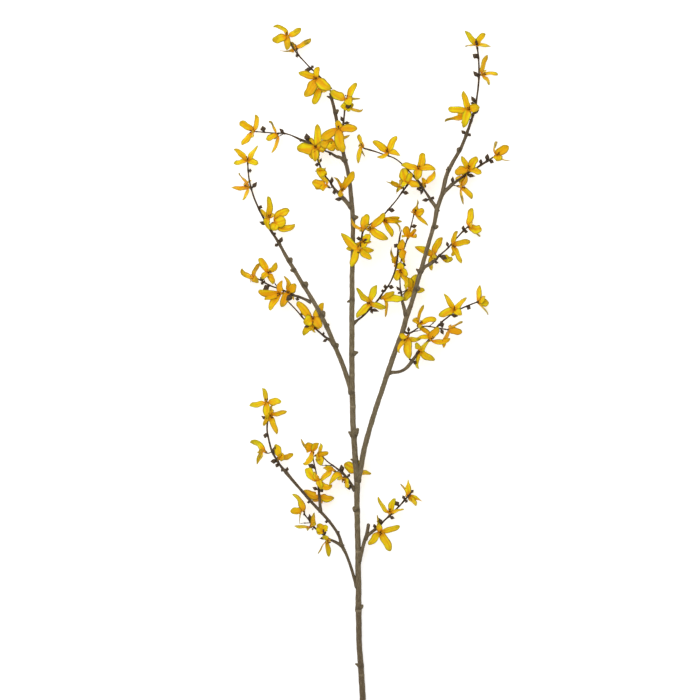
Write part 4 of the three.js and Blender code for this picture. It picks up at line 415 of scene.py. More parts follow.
          (351, 267, 0.1, 1.05), (374, 249.8, 0.1, 0.85), (371.8, 258.8, 0.2, 0.85), tone=0.5),
    bloom("flowers_cross_base", "cross", (361, 240.5), (363.3, 227.5, 5),
          (364.8, 214.8, 0.3, 1.2, 365.3, 221.5), (351.2, 218.3, 0.1, 0.5, 355.5, 227), (369, 231, -0.9, 0.5),
          (361, 232, -0.9, 0.5), tone=0.4),
    bloom("flowers_cross_middle", "cross", (377.5, 219.2), (371, 227.9, 5), (388.3, 239.2, 0.1, 1.15),
          (385, 213.6, 0.2, 0.95, 378.5, 220.5), (369, 232.5, -0.8, 0.5), (367.5, 224, 0.5, 0.6), tone=0.65),
    bloom("flowers_cross_middle", "cross", (381, 216.6), (384.3, 220.4, 4), (399.6, 217.4, 0.2, 0.6),
          (401.9, 221.6, 0, 0.45), (392, 237.3, 0.1, 0.7, 388.5, 228.3), (398.7, 231.9, -0.4, 0.2, 396, 222.3),
          tone=0.6),
    bloom("flowers_cross_tip", "cross", (401.7, 192.7), (399.6, 188, 2.5), (391.6, 180.8, 0.4, 0.62),
          (386.3, 181.2, 0, 0.3), (395.9, 193.2, 0.3, 0.35), (403, 180, -0.8, 0.5)),
    bloom("flowers_cross_tip", "cross", (409.5, 182.3), (407.2, 181.5, 5), (402.3, 168.5, 0.1, 1.35),
          (402.3, 188, 0.5, 0.6), (419.6, 186.8, 0.1, 0.85), (411, 173, 0.4, 0.7), tone=0.45, dry=0.5),
    bloom("flower_right_cross_tip", "rightCross", (364.2, 148.3), (362.2, 146.3, 1), (358.8, 134.1, 0.1, 0.5),
          (358.2, 163.6, 0.1, 0.58), (365, 156.2, -0.3, 0.25), (360, 142, -0.9, 0.6), tone=0.55),
    bloom("flower_right_cross_middle", "rightCross", (388.6, 156), (387.3, 151.5, 5), (372.6, 141.2, 0.1, 1),
          (396.9, 136.2, 0.1, 0.9), (400.2, 155.3, 0.2, 0.75), (376.8, 157.6, 0.2, 0.6, 384, 156.5), tone=0.5),
    bloom("flowers_right_cross_base", "rightCross", (414.5, 177), (418.5, 169, 5),
          (423, 152.9, 0.1, 1, 421.6, 160.5), (401, 165, -0.1, 0.9), (435.8, 169.6, 0.1, 0.85),
          (417, 180.3, 0.3, 1.15), tone=0.4),
    bloom("flowers_right_cross_base", "rightCross", (421.5, 186), (423.8, 184.3, 0),
          (435, 170.8, 0, 0.75, 431, 178.8), (421.5, 178, 0.4, 0.5), (424, 188.5, -0.6, 0.7),
          (419, 180, -0.9, 0.5), tone=0.25),
    bloom("flower_left_tip", "left", (247.6, 163), (247.5, 159.3, 4), (234, 148.2, 0.1, 0.75),
          (257.5, 145.3, 0.1, 0.52), (233.5, 162.8, 0, 0.6, 240.5, 162.3), (258.3, 163.1, 0.3, 0.88, 253, 162),
          tone=0.55),
    bloom("flower_left_upper", "left", (251, 188.5), (247.2, 186.3, 1.5), (231, 188, 0.1, 0.6),
          (242, 199.8, 0, 0.45, 246.6, 192.8), (238.3, 172.8, 0, 0.15, 242, 178), (250, 179.5, "floor", 0.8),
          tone=0.25),
    bloom("flowers_left_middle", "left", (265.3, 221), (269, 217.5, 4), (267.8, 196.3, 0.1, 0.8, 268.8, 206),
          (260.4, 209.8, 0.4, 0.6), (270.3, 230.3, 0.4, 0.6, 266.5, 223), (275, 214, -0.6, 0.6), tone=0.75),
    bloom("flowers_left_middle", "left", (270.5, 229.7), (276, 222, 2.5),
          (289.6, 211.4, 0.1, 1.1, 281.5, 213.8), (295, 224.3, 0.1, 0.95, 284.5, 228.6),
          (286.3, 220.5, 0.5, 1.5), (273, 231, 0.3, 1.4), tone=0.5),
    bloom("flowers_left_twig_tip", "leftUpperTwig", (250.5, 276.3), (252.6, 277.5, 2.5),
          (241.7, 268.1, 0.2, 0.7, 246.4, 274.6), (259.8, 263.3, 0.1, 0.55, 255, 270.6),
          (258.6, 282.6, 0.4, 0.8), (250.5, 280.5, "floor", 0.6), tone=0.1, dry=0.85),
    bloom("flowers_left_twig_tip", "leftUpperTwig", (265, 282.8), (268.2, 272.8, 5),
          (258.7, 258, 0.1, 0.9, 263.5, 264), (275.7, 262.2, 0.2, 0.72, 272.6, 269.5),
          (272.3, 284.3, 0.3, 0.85), (261.7, 279, 0.5, 0.85), tone=0.35),
    bloom("flowers_left_twig_base", "leftUpperTwig", (281, 289.5), (279.6, 294, 5),
          (258.4, 290.2, 0.1, 0.88, 267, 292.8), (282, 280.2, 0.3, 0.8), (270.6, 310.6, 0.1, 0.85, 273.8, 302),
          (264.3, 299.8, -0.2, 0.75), tone=0.1),
    bloom("flowers_left_twig_base", "leftUpperTwig", (292, 294.8), (288, 292.2, 5),
          (284.4, 275.5, 0.1, 0.6, 288.3, 284.5), (295.3, 283.6, 0.3, 1.15), (281.3, 307, 0.2, 1.1),
          (294, 299, -0.9, 0.6), tone=0.12),
    bloom("flowers_left_lower_twig", "leftLowerTwig", (309, 323.5), (313, 319, 3),
          (296.7, 302.2, 0.1, 1, 303.8, 309.5), (323.6, 302.6, -0.5, 0.9), (320.8, 328, 0.4, 1.3),
          (304.5, 324.5, 0.3, 1.5), tone=0.3),
    bloom("flowers_left_lower_twig", "leftLowerTwig", (318.5, 331.5), (315, 327.8, 2.5),
          (303.6, 335.6, 0.1, 0.95, 308.5, 328.5), (306, 325.5, -0.4, 0.8), (321.3, 323, -0.6, 0.8),
          (312, 330, 0.4, 0.9), tone=0.6),
    bloom("flower_upper_left_tip", "upperLeft", (256, 131.4), (252.3, 131.3, 3),
          (239, 122.8, 0.1, 0.95, 245.5, 125.5), (255.4, 114.3, 0.1, 0.65, 256.8, 123.5),
          (242, 145.2, 0.1, 0.8, 247, 138.5), (254.5, 136, 0.8, 0.5), tone=0.6),
    bloom("flower_upper_left_middle", "upperLeft", (279, 133.1), (276.3, 135.5, 0.5),
          (268.8, 121, 0.1, 0.35, 273.5, 126.5), (266, 139.9, 0.4, 0.8), (271.8, 153.3, 0, 0.5, 276.2, 143.8),
          (270.5, 133, -0.8, 0.6), tone=0.45),
    bloom("flowers_inner_left_tip", "innerLeft", (318.5, 161.5), (316.2, 148.5, 5), (317.6, 124.3, 0.1, 1.05),
          (297, 147, 0.1, 1.5, 306.5, 149), (328, 143, 0.2, 1.25), (315, 162, 0.4, 1.1), tone=0.6),
    bloom("flowers_main_top", "main", (341, 137), (333.8, 142.5, 4), (320, 143.3, 0.2, 1.45),
          (350, 135.7, -0.1, 0.4), (327.5, 149.3, 0.2, 1.2), (341.5, 149.5, 0.1, 1.1), tone=0.3),
    bloom("flowers_main_top", "main", (341, 137), (338.8, 129.3, 7), (357.4, 128.8, 0.1, 1.02, 348.8, 128.8),
          (337, 120.8, -0.2, 0.9), (321.3, 139.2, 0.1, 1.25, 329, 134.4), (344.6, 151.8, 0.2, 1.3, 340, 141.3),
          tone=0.2),
    bloom("flowers_inner_left_tip", "innerLeft", (320.4, 166.5), (321, 171, 5), (327, 171.8, 0.3, 1.2),
          (317.3, 168.3, 0.3, 1), (322.5, 177, 0.4, 1.15), (321, 168, 0.6, 1), tone=0.7),
    bloom("flowers_inner_left_base", "innerLeft", (332.5, 186.5), (325.5, 184.7, 2), (312, 182.3, 0.3, 1.25),
          (323, 191, 0.5, 0.95), (319, 176.6, 0, 0.5, 325.7, 180.6), (315, 187.8, -0.4, 0.9), tone=0.4),
    bloom("flowers_inner_left_base", "innerLeft", (343, 197.5), (342.5, 190, 6),
          (353.6, 171.5, 0.1, 0.95, 348.6, 180.5), (333.3, 178, -0.1, 0.25, 338.6, 182.5),
          (345, 175.8, 0.1, 0.5), (338.5, 196.5, 0.5, 0.8), tone=0.15),
    bloom("flowers_top_tip", "top", (289.7, 41), (287.2, 35.2, 3.5), (273.2, 27.3, 0.1, 0.6, 283, 29.5),
          (301, 28, 0.1, 0.85, 294.3, 32.8), (272.6, 41.3, 0.1, 1.05, 279.3, 38.3),
          (286.5, 50, 0.3, 0.9, 287.2, 42.5), tone=0.3, dry=0.78),
    bloom("flowers_top_tip", "top", (297.5, 53.5), (295.3, 48.5, -2.5), (311, 38, 0.1, 0.75, 304.3, 43.6),
          (279.6, 50.4, 0.1, 0.15), (289.3, 42, -0.3, 0.6), (292, 47.5, "floor", 0.6), tone=0.3, dry=1),
    bloom("flowers_top_base", "top", (317.5, 74.5), (315.8, 78.5, 6), (298.3, 73.4, 0.1, 0.9),
          (319.2, 67.4, 0.3, 0.8), (304.8, 96.9, 0.1, 1.3, 311.8, 87.5), (330.8, 90, 0.1, 1.25, 322.3, 84.5),
          tone=0.25),
    bloom("flowers_top_base", "top", (325, 82.5), (321, 89.3, -2), (312.8, 104, 0.1, 1, 316.8, 96.3),
          (316, 90, -0.8, 0.5), (327.7, 91, -0.8, 0.5), (316.5, 84, -0.7, 1), tone=0.55),
    bloom("flowers_top_side", "topSide", (344.7, 103.5), (346.2, 98.7, 5), (330.2, 91.4, 0.1, 1.2, 338, 95.6),
          (356.6, 83, 0.1, 0.8, 351.3, 91.5), (360, 98, 0, 0.35, 353, 100), (350.5, 105.5, 0.5, 1.3), tone=0.8),
    bloom("flowers_top_side", "topSide", (344.8, 108.5), (348.2, 106.7, 1), (362.8, 108.8, 0, 0.4, 355.3, 110),
          (352.8, 103.5, 0.2, 0.9), (351, 109, 0.3, 0.9), (340.3, 107, 0.2, 1), tone=0.85),
    bloom("flower_right_tip", "right", (477.5, 47.5), (476.6, 44.2, 3), (464.9, 30.4, 0.1, 0.75),
          (485.4, 33.3, 0.3, 0.8), (466.3, 45.2, "floor", 0.25), (491.2, 45.8, -0.1, 0.45), tone=0.75),
    bloom("flower_right_upper", "right", (479, 75), (482.6, 74, 1), (487.8, 54.8, 0.1, 0.65, 483.2, 64.5),
          (497.8, 75.2, 0.1, 0.5, 490, 73.8), (489.9, 84.8, 0, 0.5), (486, 72, -0.9, 0.6), tone=0.5),
    bloom("flowers_right_upper_base", "right", (473.3, 114), (469, 109.5, 6), (463.6, 90.8, 0.1, 0.75),
          (448, 109, 0.1, 0.95, 457, 109.6), (463.2, 127.8, 0.1, 1.1), (479.6, 107.8, 0.2, 1.1), tone=0.6),
    bloom("flowers_right_upper_base", "right", (471, 121), (462.5, 117.5, -1),
          (444.6, 121.6, 0.1, 0.3, 453.5, 118.8), (458.5, 111.5, -0.4, 0.8), (463.5, 121, -0.8, 0.5),
          (468.5, 114, -0.9, 0.6), tone=0.2),
    bloom("flowers_right_side_middle", "rightSide", (467, 173.8), (468.5, 168.2, 5), (460.8, 157, 0.2, 0.75),
          (477, 157, 0.2, 1.05), (454.6, 172.2, 0.2, 1.1, 461, 170.8), (481.5, 173.2, 0.2, 0.85, 475.8, 171.6),
          tone=0.22),
    bloom("flowers_right_side_middle", "rightSide", (465, 175), (463.5, 177.5, -3), (455.3, 178.6, 0.2, 0.7),
          (461.5, 186, 0.2, 0.42), (466.5, 180.5, 0.1, 0.38), (470, 171, -0.9, 0.5), tone=0.35),
    bloom("flower_right_side_base", "rightSide", (451.8, 185.4), (462, 187, 1.5), (466.8, 173.2, -0.2, 0.5),
          (464, 204.5, 0, 0.36, 461.6, 196), (471.8, 199.2, 0.2, 0.75), (459, 180, -0.8, 0.6), tone=0.25),
    bloom("flower_right_side_tip", "rightSide", (493.3, 157.1), (497, 154.7, 2), (509, 146.4, 0.3, 1.1),
          (496.5, 160.6, 0.4, 1.35), (498.4, 142, "floor", 0.14, 495, 147.5),
          (511.4, 159.3, -0.2, 0.2, 504, 159.6), tone=0.3),
    # two that sit behind others
    bloom("flowers_cross_base", "cross", (361, 240.5), (363.2, 241.8, 1.5), (369.6, 234.2, 0.1, 1),
          (364.8, 247.6, 0.2, 1.2), (346.2, 249.6, -0.1, 0.8, 354.5, 246.6), (371, 242.2, -0.3, 0.4),
          tone=0.75),
    bloom("flowers_inner_left_tip", "innerLeft", (318.5, 161.5), (317.5, 151.2, 1), (309.2, 137.6, -0.1, 0.85),
          (308.6, 154.4, 0.1, 1.3, 312.2, 153.6), (319.6, 163.5, 0.2, 0.45), (326.5, 148.2, 0.1, 0.9),
          tone=0.3),
]


def smoothLine(points, gap, spanSteps=24):
    # an even run of points along a smooth curve, where each lies on the old line, and the length so far
    ends = [2 * points[0] - points[1], *points, 2 * points[-1] - points[-2]]
    spots, places = [], []
    t = np.linspace(0, 1, spanSteps, endpoint=False)[:, None]
    for i in range(len(points) - 1):
        a, b, c, d = ends[i:i + 4]
        ta, tb, tc = (max(lengthOf(q - p), 1e-4) ** 0.5 for p, q in ((a, b), (b, c), (c, d)))
        leave = ((b - a) / ta - (c - a) / (ta + tb) + (c - b) / tb) * tb
        arrive = ((c - b) / tb - (d - b) / (tb + tc) + (d - c) / tc) * tb
        spots.append(b + leave * t + (3 * (c - b) - 2 * leave - arrive) * t ** 2
                     + (2 * (b - c) + leave + arrive) * t ** 3)
        places.append(i + t[:, 0])
    spots = np.vstack([*spots, points[-1][None]])
    places = np.concatenate([*places, [len(points) - 1.0]])
    run = np.concatenate([[0], np.cumsum(np.linalg.norm(np.diff(spots, axis=0), axis=1))])
    even = np.linspace(0, run[-1], max(int(round(run[-1] / gap)), 3) + 1)
    line = np.column_stack([np.interp(even, run, spots[:, axis]) for axis in range(3)])
    return line, np.interp(even, run, places), even


def bend(a, b, c, d, t):  # points along a four-point curve, at the shares t of the way
    t = t[:, None]
    return a * (1 - t) ** 3 + 3 * b * t * (1 - t) ** 2 + 3 * c * t ** 2 * (1 - t) + d * t ** 3


def headingsOf(line):
    heads = np.gradient(line, axis=0)
    return heads / np.linalg.norm(heads, axis=1)[:, None]


def carried(side, heads):  # a sideways direction taken along a line without twisting
    sides = []
    for head in heads:
        side = unit(cleared(side, head))
        sides.append(side)
    return np.array(sides)


def newShape():
    return {"points": [], "faces": [], "finish": [], "marks": [], "size": 0}


def markShape(key, points):  # the grain has three values for each point, every other mark has one
    return (len(points), 3) if key == "grain" else (len(points),)


def addPart(shape, points, faces, finish, **marks):
    base = shape["size"]
    shape["points"].append(points)
    shape["faces"] += [tuple(base + i for i in face) for face in faces]
    shape["finish"] += [finish] * len(faces)
    shape["marks"].append({key: np.broadcast_to(value, markShape(key, points)) for key, value in marks.items()})
    shape["size"] += len(points)


def ringFaces(rings, sides):  # quads round a tube, then a fan at each end on the two last points
    faces = []
    for i in range(rings - 1):
        for j in range(sides):
            k = (j + 1) % sides
            faces.append((i * sides + j, i * sides + k, (i + 1) * sides + k, (i + 1) * sides + j))
    foot, top = rings * sides, rings * sides + 1
    last = (rings - 1) * sides
    for j in range(sides):
        k = (j + 1) % sides
        faces.append((foot, k, j))
        faces.append((top, last + j, last + k))
    return faces


def forEachSide(values, sides):
    values = np.asarray(values, float)
    return np.repeat(values[:, None], sides, axis=1) if values.ndim == 1 else values


def addTube(shape, line, radii, sides, finish, grainShift=0.0, **marks):
    # a closed round body along a line; radii and marks hold a value for each ring, or for each ring and side
    heads = headingsOf(line)
    across = carried(aside(heads[0]), heads)
    front = np.cross(heads, across)
    angle = roundAngles(sides)
    radii = forEachSide(radii, sides)
    wide, deep = radii * np.cos(angle), radii * np.sin(angle)
    points = line[:, None, :] + wide[..., None] * across[:, None, :] + deep[..., None] * front[:, None, :]
    run = np.concatenate([[0], np.cumsum(np.linalg.norm(np.diff(line, axis=0), axis=1))]) + grainShift
    grain = np.stack([wide, deep, forEachSide(run, sides)], axis=-1)
    points = np.vstack([points.reshape(-1, 3), line[0], line[-1]])
    grain = np.vstack([grain.reshape(-1, 3), [0, 0, run[0]], [0, 0, run[-1]]])
    spread = {}
    for key, value in marks.items():
        value = forEachSide(value, sides)
        if value.ndim == 2:
            value = np.concatenate([value.ravel(), [value[0].mean(), value[-1].mean()]])
        spread[key] = value
    addPart(shape, points, ringFaces(len(line), sides), finish, grain=grain, **spread)


def makePiece(name, shape, finishes, node):
    mesh = bpy.data.meshes.new(name)
    mesh.from_pydata((np.vstack(shape["points"]) * mm).tolist(), [], shape["faces"])
    order = list(finishes)
    mesh.polygons.foreach_set("material_index", [order.index(finish) for finish in shape["finish"]])
    mesh.polygons.foreach_set("use_smooth", [True] * len(shape["faces"]))
    for key in sorted({key for marks in shape["marks"] for key in marks}):
        values = [marks.get(key, np.zeros(markShape(key, points)))
                  for marks, points in zip(shape["marks"], shape["points"])]
        kind, field = ("FLOAT_VECTOR", "vector") if key == "grain" else ("FLOAT", "value")
        layer = mesh.attributes.new(key, kind, "POINT")
        layer.data.foreach_set(field, np.concatenate(values).astype(np.float32).ravel())
    for material in finishes.values():
        mesh.materials.append(material)
    mesh.validate()
    mesh.update()
    piece = bpy.data.objects.new(name, mesh)
    bpy.context.scene.collection.objects.link(piece)
    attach(piece, "root")
    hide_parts(node)


def stemLine(key):
    return [place(x, y, height) for x, y, height, _ in stems[key]["route"]]


def jointOn(key, x, y, endShare=0.8):
    # the point of a stem's middle line nearest to x, y, with the radius and heading there
    points, radii = stemLine(key), [entry[3] for entry in stems[key]["route"]]
    target = place(x, y, 0)
    best = None
    for i, (near, far) in enumerate(zip(points, points[1:])):
        flatRun = (far - near)[:2]
        t = float(np.clip(np.dot((target - near)[:2], flatRun) / np.dot(flatRun, flatRun), 0, 1))
        point = near + (far - near) * t
        away = lengthOf((point - target)[:2])
        if best is None or away < best["away"]:
            best = {"away": away, "point": point, "radius": radii[i] + (radii[i + 1] - radii[i]) * t,
                    "heading": unit(far - near), "place": i + t,
                    "atEnd": i + 2 == len(points) and t > endShare}
    return best


def shootEnds(key, shoot):  # the joint of a shoot, the point on the stem's middle line, and the shoot's tip
    footX, footY, tipX, tipY, _, rise = shoot
    joint = jointOn(key, footX, footY)
    return joint, joint["point"], place(tipX, tipY, joint["point"][2] + rise)


# Finishes
def tint(red, green, blue):
    return tuple((v / 12.92 if v <= 0.04045 else ((v + 0.055) / 1.055) ** 2.4)
                 for v in (red / 255, green / 255, blue / 255)) + (1.0,)


def newFinish(name, **surface):
    material = bpy.data.materials.new(name)
    material.use_nodes = True
    shader = material.node_tree.nodes["Principled BSDF"]
    for socket, value in surface.items():
        shader.inputs[socket].default_value = value
    return material, shader


def feed(material, value, socket):  # a value, or another node's output, into an input
    if isinstance(value, bpy.types.NodeSocket):
        material.node_tree.links.new(value, socket)
    else:
        socket.default_value = value


def put(material, kind, links, **settings):
    # adds a node: links maps its inputs to what feeds them, settings are its own properties
    node = material.node_tree.nodes.new("ShaderNode" + kind)
    for key, value in settings.items():
        setattr(node, key, value)
    for key, value in links.items():
        feed(material, value, node.inputs[key])
    return node


def mark(material, name, output="Fac"):
    return put(material, "Attribute", {}, attribute_name=name).outputs[output]


def ramp(material, source, stops):
    node = put(material, "ValToRGB", {"Fac": source})
    node.color_ramp.interpolation = "EASE"
    points = node.color_ramp.elements
    while len(points) < len(stops):
        points.new(0.5)
    for point, (position, colour) in zip(points, stops):
        point.position = position
        point.color = colour
    return node.outputs["Color"]


def stretched(material, stretch):
    grain = mark(material, "grain", "Vector")
    return put(material, "Mapping", {"Vector": grain, "Scale": stretch}).outputs["Vector"]


def noise(material, vector, scale, detail, roughness=0.5):
    return put(material, "TexNoise", {"Vector": vector, "Scale": scale, "Detail": detail,
                                      "Roughness": roughness}).outputs["Fac"]


def grainNoise(material, stretch, scale, detail, roughness=0.55):
    return noise(material, stretched(material, stretch), scale, detail, roughness)


def patterns(material, looks, *names):
    return (grainNoise(material, *looks[name]) for name in names)


def blendOf(material, amount, first, second):
    node = put(material, "Mix", {0: amount, 6: first, 7: second}, data_type="RGBA")
    return node.outputs[2]


def ranged(material, source, low, high, toLow=0.0, toHigh=1.0):
    return put(material, "MapRange", {"Value": source, "From Min": low, "From Max": high, "To Min": toLow,
                                      "To Max": toHigh}).outputs["Result"]


def maths(material, kind, first, second=0.0):
    return put(material, "Math", {0: first, 1: second}, operation=kind).outputs["Value"]


def times(material, first, second):
    return maths(material, "MULTIPLY", first, second)


def plus(material, first, second):
    return maths(material, "ADD", first, second)


def dress(material, shader, looks, colour, height, roughness=None):
    # the last links of every finish: its colour, its roughness and the fine relief of its surface
    feed(material, colour, shader.inputs["Base Color"])
    if roughness is not None:
        feed(material, roughness, shader.inputs["Roughness"])
    bump = put(material, "Bump", {"Strength": looks["relief"], "Distance": looks["reliefDepth"],
                                  "Height": height})
    feed(material, bump.outputs["Normal"], shader.inputs["Normal"])
    return material


barkLooks = {
    "light": tint(150, 137, 109), "middle": tint(119, 105, 79), "dark": tint(78, 65, 46),
    "olive": tint(112, 102, 68), "weathered": tint(88, 71, 54), "youngLight": tint(98, 80, 60),
    "youngDark": tint(50, 39, 28), "scar": tint(184, 168, 138),
    # stretch, scale, detail and roughness of each pattern
    "streaks": ((1, 1, 0.14), 1.3, 5.0, 0.62), "patches": ((1, 1, 0.3), 0.12, 2.0),
    "fine": ((1, 1, 0.45), 5.0, 4.0, 0.7),
    "oliveShare": 0.4, "youngBelow": 1.5, "oldFrom": 2.5,  # radii of stems with young and old bark
    "poreStretch": (0.55, 0.55, 0.8), "poreScale": 0.75, "poreRim": 0.22, "poreHeart": 0.12,
    "poreShare": 0.55, "scarShare": 0.75, "shadeShare": 0.7, "relief": 0.5, "reliefDepth": 0.0003,
}


def makeBark():
    looks = barkLooks
    material, shader = newFinish("branchBark", **{"Roughness": 0.8, "Specular IOR Level": 0.25})
    streaks, patches, fine = patterns(material, looks, "streaks", "patches", "fine")
    old = ramp(material, streaks, [(0.3, looks["dark"]), (0.47, looks["middle"]), (0.68, looks["light"])])
    old = blendOf(material, ranged(material, patches, 0.5, 0.68, 0, looks["oliveShare"]), old, looks["olive"])
    worn = times(material, mark(material, "weather"), ranged(material, streaks, 0.3, 0.7, 0.95, 0.55))
    old = blendOf(material, worn, old, looks["weathered"])
    young = ramp(material, streaks, [(0.34, looks["youngDark"]), (0.66, looks["youngLight"])])
    age = ranged(material, mark(material, "girth"), looks["youngBelow"], looks["oldFrom"])
    colour = blendOf(material, age, young, old)
    # small raised pores, longer across the stem than along it; about half of the cells have one
    pores = put(material, "TexVoronoi", {"Vector": stretched(material, looks["poreStretch"]),
                                         "Scale": looks["poreScale"], "Randomness": 1.0})
    cell = put(material, "SeparateColor", {"Color": pores.outputs["Color"]}).outputs["Red"]
    pore = times(material, ranged(material, pores.outputs["Distance"], looks["poreRim"], looks["poreHeart"]),
                 ranged(material, cell, 0.45, 0.5))
    for amount, share, over in ((pore, "poreShare", "scar"), (mark(material, "pale"), "scarShare", "scar"),
                                (mark(material, "shade"), "shadeShare", "youngDark")):
        colour = blendOf(material, times(material, amount, looks[share]), colour, looks[over])
    height = plus(material, times(material, streaks, 0.8), times(material, fine, 0.3))
    height = plus(material, height, times(material, pore, 0.6))
    return dress(material, shader, looks, colour, height, ranged(material, fine, 0.3, 0.7, 0.66, 0.92))


budLooks = {
    "dark": tint(38, 30, 22), "warm": tint(78, 58, 38), "rim": tint(122, 98, 66), "rimShare": 0.7,
    "spots": ((1, 1, 0.6), 1.6, 3.0), "ribs": ((1, 1, 0.12), 5.0, 2.0), "relief": 0.4, "reliefDepth": 0.0002,
}


def makeBudFinish():
    looks = budLooks
    material, shader = newFinish("budScales", **{"Roughness": 0.55, "Specular IOR Level": 0.35})
    spots, ribs = patterns(material, looks, "spots", "ribs")
    colour = ramp(material, spots, [(0.35, looks["dark"]), (0.7, looks["warm"])])
    rims = times(material, mark(material, "pale"), looks["rimShare"])
    colour = blendOf(material, rims, colour, looks["rim"])
    return dress(material, shader, looks, colour, ribs, ranged(material, ribs, 0.3, 0.7, 0.45, 0.7))


cutLooks = {
    "ringDark": tint(158, 128, 86), "ringLight": tint(204, 180, 134), "pith": tint(96, 70, 44),
    "pithRadius": 0.5, "pithEdge": 0.75, "ringRate": 7.5, "wobble": 0.5, "relief": 0.5, "reliefDepth": 0.0001,
}


def makeCutWood():
    looks = cutLooks
    material, shader = newFinish("cutWood", **{"Roughness": 0.75, "Specular IOR Level": 0.2})
    parts = put(material, "SeparateXYZ", {"Vector": mark(material, "grain", "Vector")}).outputs
    flat = put(material, "CombineXYZ", {"X": parts["X"], "Y": parts["Y"]}).outputs["Vector"]
    away = put(material, "VectorMath", {0: flat}, operation="LENGTH").outputs["Value"]
    uneven = plus(material, away, times(material, noise(material, flat, 0.8, 3.0), looks["wobble"]))
    rings = maths(material, "SINE", times(material, uneven, looks["ringRate"]))
    colour = ramp(material, ranged(material, rings, -1, 1), [(0, looks["ringDark"]), (1, looks["ringLight"])])
    pith = ranged(material, away, looks["pithEdge"], looks["pithRadius"])
    colour = blendOf(material, pith, colour, looks["pith"])
    return dress(material, shader, looks, colour, noise(material, flat, 9.0, 4.0))


petalLooks = {
    # throat and base are the flower's own orange, and from the throat out they also carry painted shade where
    # the petal feet overlap
    "throat": tint(208, 110, 0), "base": tint(244, 160, 0), "gold": tint(255, 208, 0),
    # bright and amber are a painted highlight and a painted shade, laid on each petal in lengthwise bands in
    # place of the light and shade of folds
    "bright": tint(255, 236, 6), "amber": tint(230, 156, 2), "heart": tint(252, 181, 0),
    "vein": tint(230, 160, 0), "green": tint(210, 200, 8), "tip": tint(166, 152, 20),
    "edge": tint(148, 132, 14),
    # stretch, scale, detail and roughness of each pattern
    "bands": ((1, 0.1, 1), 0.36, 1.0), "veins": ((1, 0.09, 1), 2.0, 4.0, 0.6),
    "clouds": ((1, 0.6, 1), 0.26, 2.0), "fine": ((1, 0.5, 1), 6.0, 2.0),
    "foldShadeShare": 0.7, "veinShare": 0.5, "deepShare": 0.7, "fineShare": 0.25,
    "relief": 0.6, "reliefDepth": 0.0004,
}


def makePetalFinish():
    looks = petalLooks
    material, shader = newFinish("petalGold", **{
        "Roughness": 0.55, "Specular IOR Level": 0.16, "Subsurface Weight": 0.1, "Subsurface Scale": 0.001,
        "Subsurface Radius": (1.0, 0.6, 0.1), "Sheen Weight": 0.03})
    along, edge, tone = (mark(material, name) for name in ("along", "edge", "tone"))
    bands, veins, clouds, fine = patterns(material, looks, "bands", "veins", "clouds", "fine")
    within, both = partial(ranged, material), partial(times, material)
    # deep orange at the throat fading to gold: the flower's own orange throat, and also painted shade in the
    # throat and where the petal feet overlap
    colour = ramp(material, along, [(0.0, looks["throat"]), (0.14, looks["base"]), (0.38, looks["gold"]),
                                    (1.0, looks["gold"])])
    layers = [
        # painted highlight and painted shade: lighter and darker lengthwise bands in place of the shading of
        # folds
        (both(within(bands, 0.48, 0.62), within(along, 0.12, 0.35)), "bright"),
        (within(bands, 0.47, 0.33, 0, looks["foldShadeShare"]), "amber"),
        (both(both(within(edge, 0.6, 0.1), within(along, 0.95, 0.5)),
              within(clouds, 0.62, 0.4, 0.2, 0.9)), "heart"),
        (within(veins, 0.5, 0.72, 0, looks["veinShare"]), "vein"),
        # flowers differ: some are greener, some deeper
        (both(within(tone, 0.65, 1.0), within(along, 0.25, 0.9, 0.15, 0.8)), "green"),
        (within(tone, 0.4, 0.0, 0.0, looks["deepShare"]), "base"),
        # rims and tips dry to an olive brown
        (both(within(along, 0.7, 1.0), within(clouds, 0.36, 0.6, 0.35, 1.0)), "tip"),
        (both(within(edge, 0.6, 1.0), within(clouds, 0.62, 0.42, 0.35, 1.0)), "edge"),
    ]
    for amount, over in layers:
        colour = blendOf(material, amount, colour, looks[over])
    height = plus(material, plus(material, veins, times(material, fine, looks["fineShare"])), bands)
    return dress(material, shader, looks, colour, height, within(veins, 0.3, 0.7, 0.48, 0.66))


speckledLooks = {
    "throatOrange": {"dark": tint(204, 132, 8), "light": tint(246, 186, 12), "scale": 1.2, "roughness": 0.55,
                     "relief": 0.3, "reliefDepth": 0.0002},
    "calyxBrown": {"dark": tint(58, 44, 26), "light": tint(104, 84, 44), "scale": 1.6, "roughness": 0.65,
                   "relief": 0.4, "reliefDepth": 0.0002},
    "stamenBrown": {"dark": tint(58, 26, 6), "light": tint(104, 56, 12), "scale": 3.0, "roughness": 0.6,
                    "relief": 0.4, "reliefDepth": 0.0002},
}


def makeSpeckled(name):
    looks = speckledLooks[name]
    roughness = looks["roughness"]
    material, shader = newFinish(name, **{"Roughness": roughness, "Specular IOR Level": 0.3})
    spots = grainNoise(material, (1, 1, 0.5), looks["scale"], 3.0)
    colour = ramp(material, spots, [(0.32, looks["dark"]), (0.68, looks["light"])])
    uneven = ranged(material, spots, 0.3, 0.7, roughness - 0.08, roughness + 0.1)
    return dress(material, shader, looks, colour, spots, uneven)


woodFinishes = {"bark": makeBark(), "bud": makeBudFinish(), "cut": makeCutWood()}
flowerFinishes = {"petal": makePetalFinish(), "throat": makeSpeckled("throatOrange"),
                  "calyx": makeSpeckled("calyxBrown"), "stamen": makeSpeckled("stamenBrown")}
print("finishes made")


